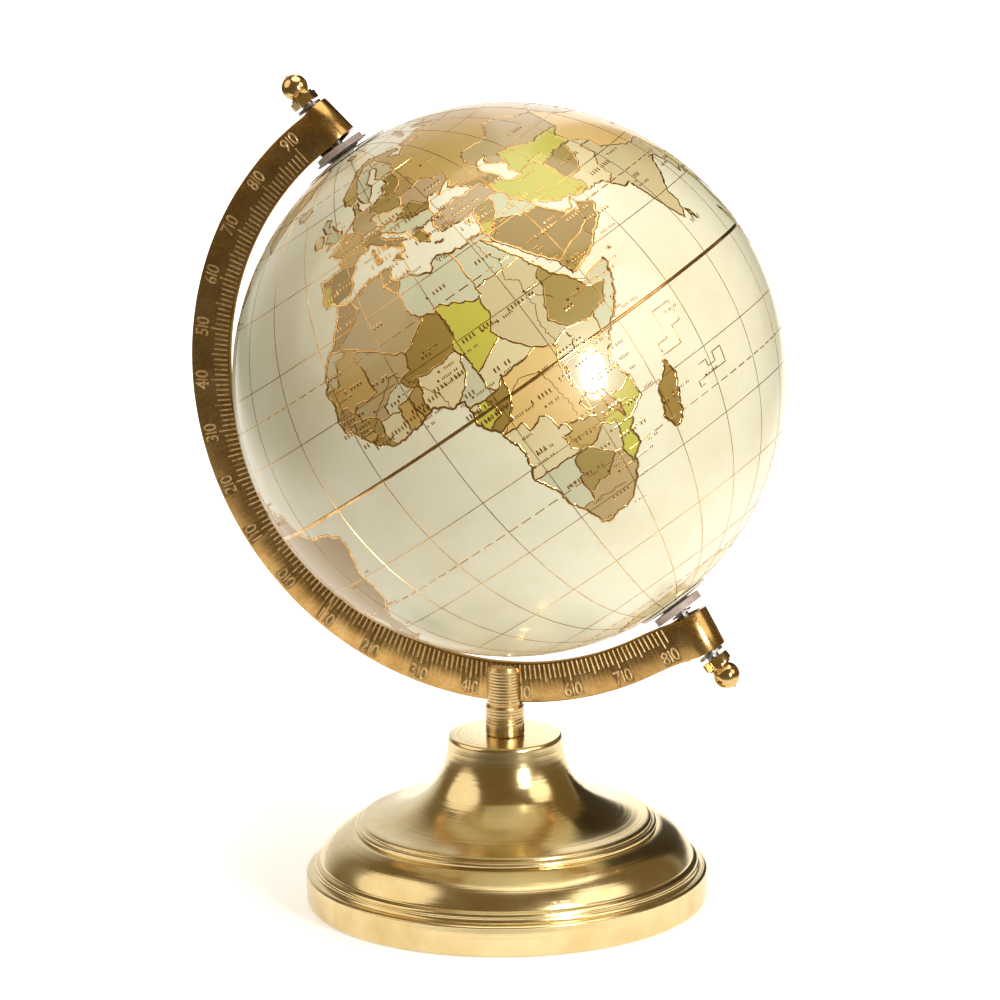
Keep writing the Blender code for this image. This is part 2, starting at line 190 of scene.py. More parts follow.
def node(tree, kind, settings=None, **links):
    """Adds a node, sets its properties and unlinked inputs, and links the inputs given as sockets."""
    made = tree.nodes.new(kind)
    for key, value in (settings or {}).items():
        if isinstance(key, str) and hasattr(made, key):
            setattr(made, key, value)
        else:
            made.inputs[key].default_value = value
    for key, socket in links.items():
        spot = int(key[1:]) if key[0] == "i" and key[1:].isdigit() else key.replace("_", " ")
        tree.links.new(socket, made.inputs[spot])
    return made


def finish(name, colour, roughness, metallic=0.0, **more):
    """A Principled material with plain values. Returns the material, its tree and its shader node."""
    made = bpy.data.materials.new(name)
    made.use_nodes = True
    tree = made.node_tree
    shader = tree.nodes["Principled BSDF"]
    shader.inputs["Base Color"].default_value = linear(colour)
    shader.inputs["Roughness"].default_value = roughness
    shader.inputs["Metallic"].default_value = metallic
    for key, value in more.items():
        shader.inputs[key.replace("_", " ")].default_value = value
    return made, tree, shader


def ramp(tree, factor, stops):
    """A colour ramp with (position, hex) stops."""
    made = node(tree, "ShaderNodeValToRGB", i0=factor)
    band = made.color_ramp
    while len(band.elements) < len(stops):
        band.elements.new(0.5)
    for element, (place, code) in zip(band.elements, stops):
        element.position = place
        element.color = linear(code)
    return made.outputs["Color"]


def noise(tree, place, scale, detail, roughness=0.5):
    """The value from 0 to 1 of a layered noise at place. scale is in cells per metre."""
    settings = {"Scale": scale, "Detail": detail, "Roughness": roughness}
    return node(tree, "ShaderNodeTexNoise", settings, Vector=place).outputs["Fac"]


def relief(tree, shader, height, strength, distance):
    """Bumps the shader's surface by height, which is scaled to this distance in metres."""
    bump = node(tree, "ShaderNodeBump", {"Strength": strength, "Distance": distance}, Height=height)
    tree.links.new(bump.outputs[0], shader.inputs["Normal"])


def multiply_colours(tree, first, second, share=1.0):
    """The first colour times the second, mixed in by this share."""
    mixed = node(tree, "ShaderNodeMix", {"data_type": "RGBA", "blend_type": "MULTIPLY"})
    mixed.inputs["Factor"].default_value = share
    tree.links.new(first, mixed.inputs[6])
    tree.links.new(second, mixed.inputs[7])
    return mixed.outputs[2]


def value_math(tree, operation, first, second, third=None):
    """One math node. Each input is a socket or a plain number."""
    inputs = {0: first, 1: second, 2: third}
    plain = {k: v for k, v in inputs.items() if isinstance(v, (int, float))}
    linked = {f"i{k}": v for k, v in inputs.items() if v is not None and k not in plain}
    return node(tree, "ShaderNodeMath", {"operation": operation, **plain}, **linked).outputs[0]


print("material helpers ready")

# %% [markdown]
# ## Brass finishes
# The base is a brass-plated casting that was turned on a lathe and lacquered, so it mirrors the room
# softly and shows fine rings. The rings are a noise that depends only on the distance from the axis
# and on the height, so it draws a ring about every 0.8 mm on the base, with finer ones between, and
# closer on the small parts. A second, slower noise clouds the lacquer, and a few pits with brown halos
# sit where the plating has failed.

# %% Turned, lacquered brass
def ring_coordinates(tree, per_metre):
    """The plain place, and (distance from z, height) times this many rings per metre, which draws lathe
    rings when a noise reads it."""
    place = node(tree, "ShaderNodeTexCoord").outputs["Object"]
    parts = node(tree, "ShaderNodeSeparateXYZ", i0=place)
    flat = node(tree, "ShaderNodeCombineXYZ", i0=parts.outputs["X"], i1=parts.outputs["Y"])
    reach = node(tree, "ShaderNodeVectorMath", {"operation": "LENGTH"}, i0=flat.outputs[0])
    r = value_math(tree, "MULTIPLY", reach.outputs["Value"], per_metre)
    z = value_math(tree, "MULTIPLY", parts.outputs["Z"], per_metre)
    return place, node(tree, "ShaderNodeCombineXYZ", i0=r, i1=z).outputs[0]


def turned_brass(name, colour, dark, rings, roughness, depth, spots=0.0):
    """Polished metal with lathe rings, cloudy lacquer and, if spots is above 0, failed pits."""
    made, tree, shader = finish(name, colour, roughness, 1.0)
    place, ringed = ring_coordinates(tree, rings)
    lines = noise(tree, ringed, 1.0, 3.0, 0.6)
    cloud = noise(tree, place, 55.0, 5.0, 0.6)
    tint = ramp(tree, cloud, [(0.28, dark), (0.62, colour)])
    if spots:
        cells = node(tree, "ShaderNodeTexVoronoi", {"Scale": 42.0, "Randomness": 1.0}, Vector=place)
        stops = [(0.035, "#1c0f06"), (0.05, "#b07a3c"), (0.075, "#ffffff")]
        tint = multiply_colours(tree, tint, ramp(tree, cells.outputs["Distance"], stops), spots)
    tree.links.new(tint, shader.inputs["Base Color"])
    rough = node(tree, "ShaderNodeMapRange", {1: 0.3, 2: 0.7, 3: roughness * 0.8, 4: roughness * 1.35},
                 i0=cloud)
    tree.links.new(rough.outputs[0], shader.inputs["Roughness"])
    relief(tree, shader, lines, 0.5, depth)
    return made


BASE_BRASS = turned_brass("polished plated brass, turned", "#e6d4a6", "#ceb57e", 1300.0, 0.17, 0.0001, 0.85)
POST_BRASS = turned_brass("fine turned brass rod", "#d8bd8c", "#bf9f6c", 2600.0, 0.24, 0.00005)
FINIAL_BRASS = turned_brass("polished brass nut", "#dcc08c", "#c3a266", 5200.0, 0.12, 0.00001)
print("brass finishes:", BASE_BRASS.name, POST_BRASS.name, FINIAL_BRASS.name)

# %% [markdown]
# The strip is older looking: brass with brown lacquer that has darkened unevenly. A grain of about half
# a millimetre breaks up its shine, and the stamped marks are rubbed bright.

# %% Antique brushed brass
def antique_brass():
    """Brushed brass whose colour wanders between brown and gold. A fine noise sets its relief."""
    made, tree, shader = finish("antique brushed brass", "#b08a4e", 0.3, 1.0)
    place = node(tree, "ShaderNodeTexCoord").outputs["Object"]
    blotch = noise(tree, place, 120.0, 8.0, 0.75)
    grit = noise(tree, place, 1900.0, 3.0, 0.7)
    tint = ramp(tree, blotch, [(0.30, "#a07c48"), (0.52, "#bf9a60"), (0.72, "#d3b078")])
    tree.links.new(tint, shader.inputs["Base Color"])
    rough = node(tree, "ShaderNodeMapRange", {1: 0.3, 2: 0.7, 3: 0.15, 4: 0.30}, i0=grit)
    tree.links.new(rough.outputs[0], shader.inputs["Roughness"])
    relief(tree, shader, grit, 0.5, 0.00002)
    return made


def stamped_brass():
    """The floor and walls of a stamped mark: the same brass, rubbed bright, with a little grime."""
    made, tree, shader = finish("bright stamped brass", "#e8cd98", 0.5, 1.0)
    place = node(tree, "ShaderNodeTexCoord").outputs["Object"]
    tint = ramp(tree, noise(tree, place, 900.0, 3.0), [(0.30, "#c8a468"), (0.52, "#f0daae")])
    tree.links.new(tint, shader.inputs["Base Color"])
    return made


ARC_BRASS = antique_brass()
MARK_BRASS = stamped_brass()
print("strip finishes:", ARC_BRASS.name, MARK_BRASS.name)

# %% [markdown]
# Small parts: zinc-grey steel for washers, rod and nut, warm grey moulded nylon for the bushes, a clear
# plastic disc that looks grey against the ball, and short green felt under the foot.

# %% Steel, plastics and felt
def speckled(name, colours, scale, roughness, metallic, bump_depth, **more):
    """A plain finish whose colour and relief follow one fine noise."""
    made, tree, shader = finish(name, colours[-1], roughness, metallic, **more)
    place = node(tree, "ShaderNodeTexCoord").outputs["Object"]
    grain = noise(tree, place, scale, 4.0, 0.65)
    stops = [(0.3 + 0.4 * i / (len(colours) - 1), c) for i, c in enumerate(colours)]
    tree.links.new(ramp(tree, grain, stops), shader.inputs["Base Color"])
    relief(tree, shader, grain, 0.6, bump_depth)
    return made


STEEL = speckled("zinc plated steel", ["#8e8f92", "#b9babd"], 900.0, 0.28, 1.0, 0.00001)
NYLON = speckled("warm grey moulded nylon", ["#a39694", "#b9acaa"], 700.0, 0.42, 0.0, 0.00002)
DISC = speckled("smoked clear disc", ["#d4d4cc", "#eceae4"], 300.0, 0.12, 0.0, 0.000005, Coat_Weight=0.6)
INK = speckled("black printing ink", ["#14120f", "#26221c"], 900.0, 0.35, 0.0, 0.00001)
CARD = speckled("grey board", ["#8b7658", "#a88f6c"], 400.0, 0.85, 0.0, 0.00004)
FELT = speckled("short green felt", ["#0e2a19", "#1f4a2e"], 1600.0, 0.95, 0.0, 0.00025, Sheen_Weight=0.5)
print("small finishes: 6")

# %% [markdown]
# ## Base
# The base is one lathe profile: a flat neck, a long flare, a stepped bead, a dome, a small cord and the
# foot band. Each corner is rounded a little, because polishing takes every sharp edge off, and the
# bright lines along the beads come from those rounded edges.

# %% Base
FLARE = [(13.3, 39.1), (13.45, 37.5), (13.8, 35.0), (14.5, 32.5), (15.6, 30.0), (17.2, 27.6),
         (19.4, 25.4), (22.2, 23.4), (25.6, 21.8), (29.4, 20.6), (33.3, 19.8)]
BEADS = [(33.9, 19.5), (33.9, 18.95), (34.7, 18.85), (35.15, 18.5), (35.15, 17.8), (35.0, 17.5)]
DOME = [(36.4, 17.3), (38.4, 16.3), (40.4, 14.9), (42.1, 13.0), (43.3, 11.0), (43.6, 10.2)]
CORD = [(43.9, 10.0), (44.5, 9.7), (44.75, 9.1), (44.6, 8.5), (44.9, 7.75)]
BAND = [(46.3, 7.6), (46.8, 7.2), (46.8, 0.8), (46.4, 0.3)]
UNDER = [(45.4, 0.3), (45.4, 2.0), (43.4, 2.0), (43.2, 5.4), (40.2, 10.0), (33.3, 15.2), (24.3, 18.0),
         (15.6, 22.2), (12.1, 29.2), (9.9, 33.8), (2.7, 33.8), (2.7, 39.8)]


def smooth_run(points, steps):
    """A Catmull-Rom curve through the points: each span is a cubic set by its four nearest points."""
    p = np.array(points, float)
    p = np.vstack([2 * p[0] - p[1], p, 2 * p[-1] - p[-2]])
    t = (np.arange(steps) / steps)[:, None, None]
    a, b, c, d = p[:-3], p[1:-2], p[2:-1], p[3:]
    run = 0.5 * (2 * b + (c - a) * t + (2 * a - 5 * b + 4 * c - d) * t**2 + (3 * b - a - 3 * c + d) * t**3)
    return list(run.transpose(1, 0, 2).reshape(-1, 2)) + [p[-2]]


crown = rounded([(12.6, 39.8), (13.0, 39.72)] + smooth_run(FLARE, 4) + BEADS, 0.22, 3)
rim = rounded(smooth_run(DOME, 4) + CORD + BAND, 0.16, 3)
base = turn_profile("base_turned", np.vstack([crown, rim, UNDER]), 192, BASE_BRASS, sharp=50)
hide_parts("base_shell")
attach(base, "stand")
print("base:", len(base.data.polygons), "faces")

# %% [markdown]
# The felt pad is die-cut, so its edge is slightly crushed. It is glued flat inside the foot band.

# %% Felt pad
FELT_R = 45.1
felt = turn_profile("felt_pad", rounded([(0, 1.7), (FELT_R, 1.7), (FELT_R, 0), (0, 0)], 0.35), 96, FELT,
                    sharp=60, ring=False)
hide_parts("base_felt")
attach(felt, "stand")
print("felt disc", 2 * FELT_R, "mm across")

# %% [markdown]
# ## Post
# The post is turned rod. The tool left grooves about 0.75 mm apart on it, except on the polished foot,
# and the slot for the strip is sawn from above. The grooves are real geometry, because their edges
# catch the light, and the slot is a Boolean cut through the finished turning.

# %% Post
def cutter_box(name, low, high):
    """A box between two corners in millimetres, for a Boolean."""
    corners = np.array([[(low, high)[b][a] for a, b in enumerate(bits)]
                        for bits in np.ndindex(2, 2, 2)], float)
    faces = [(0, 1, 3, 2), (4, 6, 7, 5), (0, 4, 5, 1), (2, 3, 7, 6), (0, 2, 6, 4), (1, 5, 7, 3)]
    return add_mesh(name, corners, faces)


def carve(obj, cutter, keep_material=False):
    """Cuts the cutter from obj for good, and removes the cutter."""
    cut = obj.modifiers.new("cut", "BOOLEAN")
    cut.operation, cut.solver, cut.object = "DIFFERENCE", "EXACT", cutter
    if keep_material:
        cut.material_mode = "TRANSFER"
    graph = bpy.context.evaluated_depsgraph_get()
    mesh = bpy.data.meshes.new_from_object(obj.evaluated_get(graph))
    obj.modifiers.clear()
    obj.data = mesh
    bpy.data.objects.remove(cutter, do_unlink=True)
    return obj


def grooved(radius, low, high, pitch, depth):
    """A side profile, from high to low, with a shallow V groove every pitch: r dips by depth at each."""
    z = np.linspace(high, low, int((high - low) / pitch * 4) + 1)
    dip = np.maximum(0.0, 1 - np.abs((z / pitch) % 1 - 0.5) / 0.22)
    return np.stack([radius - depth * dip, z], 1)


post_side = np.vstack([
    [(0, 56.65), (2.9, 56.65), (3.75, 56.3), (4.05, 55.6)],
    grooved(4.15, 47.7, 55.4, 0.75, 0.10),
    [(3.95, 47.3), (3.95, 47.05), (4.4, 46.9)],
    grooved(4.5, 42.6, 46.8, 0.75, 0.10),
    [(4.5, 42.2), (4.5, 40.2), (4.3, 39.9), (2.5, 39.9), (2.5, 27.6), (1.9, 27.0), (0, 27.0)],
])
post = turn_profile("post_turned", post_side, 96, POST_BRASS, sharp=28, ring=False)
carve(post, cutter_box("slot", (-12, -0.95, 47.45), (12, 0.95, 60)))
post.data.set_sharp_from_angle(angle=math.radians(28))
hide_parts("post")
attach(post, "stand")
print("post:", len(post.data.polygons), "faces")

# %% [markdown]
# ## Half meridian
# One strip of brass, 9.5 by 1.6 mm. Its middle line is a circle, then each end runs out straighter for
# nine degrees, and the last part is rolled back round a mandrel into an eye for the axle. The shape is a
# rounded bar section carried along that line: every station has a middle, a direction across the strip
# and a direction through it, and the section's corners are added along those two directions.

# %% The strip's line
NORTH, SOUTH = 128.25, 308.25
LEAD, SKEW, EYE_R, SOUTH_RISE = 9.0, 8.5, 5.1, 1.8


def direction(degrees):
    """Unit vectors in the strip's plane at these angles from +X towards +Z."""
    a = np.radians(np.asarray(degrees, float))
    return np.stack([np.cos(a), 0 * a, np.sin(a)], -1)


def strip_line(degrees):
    """(middle, across) of the flat strip. With s the share of the lead passed, from 0 to 1 at the pole,
    the reach is 71.5 + rise s^2 and the section leans by 8.5 s^2 degrees more than the radius does."""
    d = np.asarray(degrees, float)
    n = np.clip((NORTH + LEAD - d) / LEAD, 0, None)
    s = np.clip((d - SOUTH + LEAD) / LEAD, 0, None)
    reach = STRIP_MID + SOUTH_RISE * s**2
    middle = ARC_CENTRE + reach[..., None] * direction(d)
    return middle, direction(d + SKEW * n**2 - SKEW * s**2)


def eye_line(pole, side, rise, wraps):
    """(middle, across, through) where the strip has wrapped by these angles about its eye. With r the
    radius of the strip's middle, a point is along * r sin w + back * (r - r cos w), so the eye leaves
    the strip smoothly."""
    across = direction(pole + side * SKEW)
    along = direction(pole + side * SKEW - side * 90)
    w = np.radians(wraps)[:, None]
    back = np.array([0.0, 1.0, 0.0])
    mid_r = EYE_R - STRIP_THICK / 2
    middle = ARC_CENTRE + (STRIP_MID + rise) * direction(pole) + along * mid_r * np.sin(w)
    middle = middle + back * (mid_r - mid_r * np.cos(w))
    through = -along * np.sin(w) + back * np.cos(w)
    return middle, np.repeat(across[None], len(w), 0), through


flat = np.arange(NORTH, SOUTH + 0.01, 0.75)
flat_mid, flat_across = strip_line(flat)
wraps = np.arange(6, 301, 6.0)
n_mid, n_across, n_through = eye_line(NORTH, 1, 0.0, wraps)
s_mid, s_across, s_through = eye_line(SOUTH, -1, SOUTH_RISE, wraps)
mids = np.vstack([n_mid[::-1], flat_mid, s_mid])
acrosses = np.vstack([n_across[::-1], flat_across, s_across])
throughs = np.vstack([n_through[::-1], np.tile([0.0, 1.0, 0.0], (len(flat), 1)), s_through])
print("strip line:", len(mids), "stations")

# %% The strip's section carried along its line
EASE = 0.22
half_w, half_t = STRIP_WIDTH / 2, STRIP_THICK / 2
section = np.array([(-half_w, -half_t + EASE), (-half_w + 0.3 * EASE, -half_t + 0.3 * EASE),
                    (-half_w + EASE, -half_t), (half_w - EASE, -half_t),
                    (half_w - 0.3 * EASE, -half_t + 0.3 * EASE), (half_w, -half_t + EASE),
                    (half_w, half_t - EASE), (half_w - EASE, half_t),
                    (-half_w + EASE, half_t), (-half_w, half_t - EASE)])
points = mids[:, None] + section[None, :, :1] * acrosses[:, None] + section[None, :, 1:] * throughs[:, None]
rows, columns = points.shape[:2]
faces = grid_faces(rows, columns).tolist()
faces += [list(range(columns)), list(range(rows * columns - columns, rows * columns))[::-1]]
arc = outward(add_mesh("strip_rolled", points.reshape(-1, 3), faces, ARC_BRASS))
print("strip:", len(arc.data.polygons), "faces before stamping")

# %% [markdown]
# The scale was stamped: a short tick for each degree along the inner edge, a longer one at five and a
# long one at ten that runs up between two figures, as in 1|0. The zero mark sits a little off the true
# equator, as it does on a cheap strip. Ticks are wedge-ended bars and figures are plain sans numerals,
# all sunk 0.16 mm with one Boolean cut. Their walls slope, so that they catch the light.

# %% Scale marks as cutters
ZERO_AT = 223.5
DEPTH = 0.16


def place_on_strip(u, v, w, degrees):
    """Points given as u along, v across and w through the strip at an angle. across points outwards and
    along points towards larger angles, so a point is middle + u along + v across + w y."""
    middle, across = strip_line(degrees)
    along = np.stack([-across[..., 2], 0 * across[..., 0], across[..., 0]], -1)
    y = np.array([0.0, 1.0, 0.0])
    return middle + u[..., None] * along + v[..., None] * across + w[..., None] * y


def tick_cutters():
    """All bars in one mesh. Each is a wedge 0.35 mm wide at the face and 0.1 mm wide at its floor.
    The ticks come first, then the bar between the two figures of every tenth degree."""
    n = np.arange(-90, 82)
    tens = n[n % 10 == 0]
    low = np.concatenate([np.full(len(n), -half_w + 0.5), np.full(len(tens), 0.85)])
    high = np.where(n % 10 == 0, 0.2, np.where(n % 5 == 0, -0.15, -0.9))
    high = np.concatenate([high, np.full(len(tens), 3.85)])
    n = np.concatenate([n, tens])
    u = np.array([-1, 1, 1, -1, -1, 1, 1, -1]) * np.array([0.27] * 4 + [0.05] * 4)
    end = np.array([0, 0, 1, 1, 0, 0, 1, 1])
    w = np.array([-half_t - 0.12] * 4 + [-half_t + DEPTH] * 4)
    v = low[:, None] * (1 - end) + high[:, None] * end
    put = place_on_strip(np.tile(u, (len(n), 1)), v, np.tile(w, (len(n), 1)),
                         np.repeat((ZERO_AT + n)[:, None], 8, 1).astype(float))
    return put.reshape(-1, 3), boxes_of(len(n))


def numeral(figure):
    """(points, faces) of one numeral, 3.3 mm tall and centred, from the default font. A bevel of 0.1 mm
    gives the solid sloping sides, and it is 0.52 mm deep."""
    curve = bpy.data.curves.new("numeral", "FONT")
    curve.body, curve.size, curve.extrude = figure, 4.5, 0.16
    curve.resolution_u, curve.bevel_depth, curve.bevel_resolution, curve.offset = 3, 0.1, 0, -0.055
    curve.align_x, curve.align_y = "CENTER", "CENTER"
    obj = bpy.data.objects.new("numeral", curve)
    bpy.context.scene.collection.objects.link(obj)
    mesh = bpy.data.meshes.new_from_object(obj.evaluated_get(bpy.context.evaluated_depsgraph_get()))
    co = np.array([v.co for v in mesh.vertices])
    faces = [list(p.vertices) for p in mesh.polygons]
    bpy.data.objects.remove(obj, do_unlink=True)
    co[:, :2] -= (co[:, :2].min(0) + co[:, :2].max(0)) / 2
    return co, faces


points, faces = tick_cutters()
points, faces = [points], faces.tolist()
count = len(points[0])
figures = {f: numeral(f) for f in "0123456789"}


def facing_out(co, faces):
    """The faces, all turned round if the solid they close is inside out."""
    fans = [(co[f[0]], co[a], co[b]) for f in faces for a, b in zip(f[1:], f[2:])]
    return [f[::-1] for f in faces] if np.linalg.det(np.array(fans)).sum() < 0 else faces


faces = facing_out(points[0] - points[0].mean(0), faces)
for tens in range(-9, 9):
    sense = 1 if tens < 0 else -1
    for figure, shift in ((str(abs(tens)), -1.35), ("0", 1.35)):
        co, polygons = figures[figure]
        u = -sense * (co[:, 0] * 0.85 + shift)
        v = 2.3 + sense * co[:, 1]
        w = -half_t + DEPTH - 0.26 - co[:, 2]
        put = place_on_strip(u, v, w, np.full(len(co), ZERO_AT + 10.0 * tens))
        points.append(put)
        faces += [[i + count for i in p] for p in facing_out(put - put.mean(0), polygons)]
        count += len(co)
marks = add_mesh("stamp", np.vstack(points), faces, MARK_BRASS)
print("stamp:", len(marks.data.polygons), "faces")

# %% Stamp the scale into the strip
weld = marks.modifiers.new("weld", "WELD")
weld.merge_threshold = 0.000001
marks.data = bpy.data.meshes.new_from_object(marks.evaluated_get(bpy.context.evaluated_depsgraph_get()))
marks.modifiers.clear()
before = len(arc.data.polygons)
carve(arc, marks, keep_material=True)
arc.data.set_sharp_from_angle(angle=math.radians(32))
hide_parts("meridian_arc")
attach(arc, "meridian")
print("strip:", before, "->", len(arc.data.polygons), "faces,", len(arc.data.materials), "materials")

# %% [markdown]
# ## Axle hardware
# Each end of the rod carries a ball-ended nut over a washer. Below the ball is a collar and a thin
# hexagon flange. The ball is a circle's arc in the profile. The hexagon has chamfered corners, which
# are an intersection of six flats and a cone.

# %% Finials
def finial_parts(name, sign, centre):
    """A turned ball and collar, and a six-sided flange: reach = min(flat / cos(angle to flat), cone)."""
    axes = pole_axes(sign)
    t = np.radians(np.linspace(8, 136, 30))
    ball = np.stack([3.1 * np.sin(t), centre + 3.1 * np.cos(t)], 1)
    nib = [(0, centre + 3.4), (0.25, centre + 3.38), (0.4, centre + 3.12)]
    collar = [(2.25, centre - 2.3), (2.75, centre - 2.35), (2.8, centre - 2.5), (2.8, centre - 2.85),
              (0, centre - 2.85)]
    top = turn_profile(name + "_ball", np.vstack([nib, ball, collar]), 64, FINIAL_BRASS, axes, AXLE_CENTRE,
                       sharp=40, ring=False)
    a = np.radians(np.arange(0, 360, 5.0))[:, None]
    to_flat = np.radians((np.degrees(a) % 60) - 30)
    z = np.array([-4.85, -4.7, -3.0, -2.85])
    cone = np.array([3.1, 3.35, 3.35, 3.1])
    reach = np.minimum(2.9 / np.cos(to_flat), cone)
    ring = np.stack([reach * np.cos(a), reach * np.sin(a), centre + z + 0 * a], -1)
    n = len(a)
    faces = grid_faces(n, 4, wrap_rows=True, wrap_columns=False).tolist()
    faces += [list(range(0, 4 * n, 4)), list(range(3, 4 * n, 4))[::-1]]
    ring = AXLE_CENTRE + ring.reshape(-1, 3) @ axes.T
    flange = outward(add_mesh(name + "_flange", ring, faces, FINIAL_BRASS))
    flange.data.set_sharp_from_angle(angle=math.radians(20))
    for piece in (top, flange):
        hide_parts(name)
        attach(piece, "meridian")
    return top


finial_parts("north_finial", 1, 83.0)
finial_parts("south_finial", -1, 85.1)
print("finials: 2 balls, 2 flanges")

# %% Washers
for side, sign, low in (("north", 1, 76.85), ("south", -1, 78.65)):
    loop = [(1.7, low), (3.0, low), (3.1, low + 0.1), (3.1, low + 0.7), (3.0, low + 0.8), (1.7, low + 0.8)]
    washer = turn_profile(side + "_washer_fine", loop, 64, STEEL, pole_axes(sign), AXLE_CENTRE, sharp=30)
    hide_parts(side + "_washer")
    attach(washer, "meridian")
print("washers: 2")

# %% [markdown]
# The bushes are moulded: a drum with a rounded rim over a thin lip, with a recess in its top that
# clears the thin washer between bush and eye. Under each lies the hour disc, a clear printed dish that
# follows the ball. Its print is a ring of short black strokes, four for each hour with the hour stroke
# longer.

# %% Bushes and hour discs
DISH_UNDER, DISH_OVER = 64.1, 64.45
BUSH_FOOT, BUSH_BORE, BUSH_SEAT_R = 59.5, 1.62, 3.0


def hour_disc(side, sign, radius):
    """A dish between two spheres of 64.1 and 64.45 mm, printed with a ring of 96 strokes."""
    a = np.linspace(math.asin(3.55 / DISH_UNDER), math.asin(radius / DISH_UNDER), 10)
    over = np.stack([DISH_OVER * np.sin(a), DISH_OVER * np.cos(a)], 1)
    under = np.stack([DISH_UNDER * np.sin(a), DISH_UNDER * np.cos(a)], 1)[::-1]
    disc = turn_profile(side + "_disc_clear", np.vstack([over, under]), 96, DISC, pole_axes(sign),
                        BALL_CENTRE)
    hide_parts(side + "_hour_disc")
    n = np.arange(96)
    long = n % 4 == 0
    phi = (2 * np.pi * n / 96)[:, None]
    r0, r1 = radius - np.where(long, 2.4, 1.5), np.full(96, radius - 0.5)
    half = np.where(long, 0.13, 0.09)
    ends = np.stack([r0, r0, r1, r1], 1)
    sway = np.stack([-half, half, half, -half], 1)
    x = ends * np.cos(phi) - sway * np.sin(phi)
    y = ends * np.sin(phi) + sway * np.cos(phi)
    spots = [np.stack([x, y, np.sqrt(sphere**2 - x**2 - y**2)], -1) for sphere in (64.40, 64.47)]
    co = BALL_CENTRE + np.concatenate(spots, 1).reshape(-1, 3) @ pole_axes(sign).T
    dial = outward(add_mesh(side + "_disc_print", co, boxes_of(96), INK))
    for piece in (disc, dial):
        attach(piece, "globe")
    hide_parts(side + "_hour_disc")


for side, sign, drum, lip, low, seat, top, dish in (("north", 1, 6.1, 6.8, 65.0, 65.2, 66.58, 10.7),
                                                    ("south", -1, 6.1, 6.15, 64.7, 65.9, 66.4, 8.9)):
    loop = [(BUSH_BORE, BUSH_FOOT), (BUSH_BORE, seat), (BUSH_SEAT_R, seat), (BUSH_SEAT_R, top),
            (drum, top), (drum, low + 0.5), (lip, low + 0.4), (lip, low), (4.2, low),
            (4.2, 64.55), (3.4, 64.55), (3.4, BUSH_FOOT)]
    loop = rounded(loop + loop[:1], 0.12)[:-1]
    bush = turn_profile(side + "_bush_moulded", loop, 96, NYLON, pole_axes(sign), BALL_CENTRE, sharp=40)
    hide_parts(side + "_bush")
    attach(bush, "globe")
    hour_disc(side, sign, dish)
print("bushes and discs: 2 each")

# %% [markdown]
# ## The printed map
# The ball is covered with printed gores: ivory sea, countries in old-paper colours, and every coast,
# border and grid line in copper-gold foil. The map is drawn from general knowledge of the world's
# outline, one line for each stretch of coast or border, in whole or half degrees of longitude and
# latitude. A country is not a shape of its own. It is what the lines round a seed point enclose, so two
# neighbours always share one border. Rows of short strokes take the place of names.

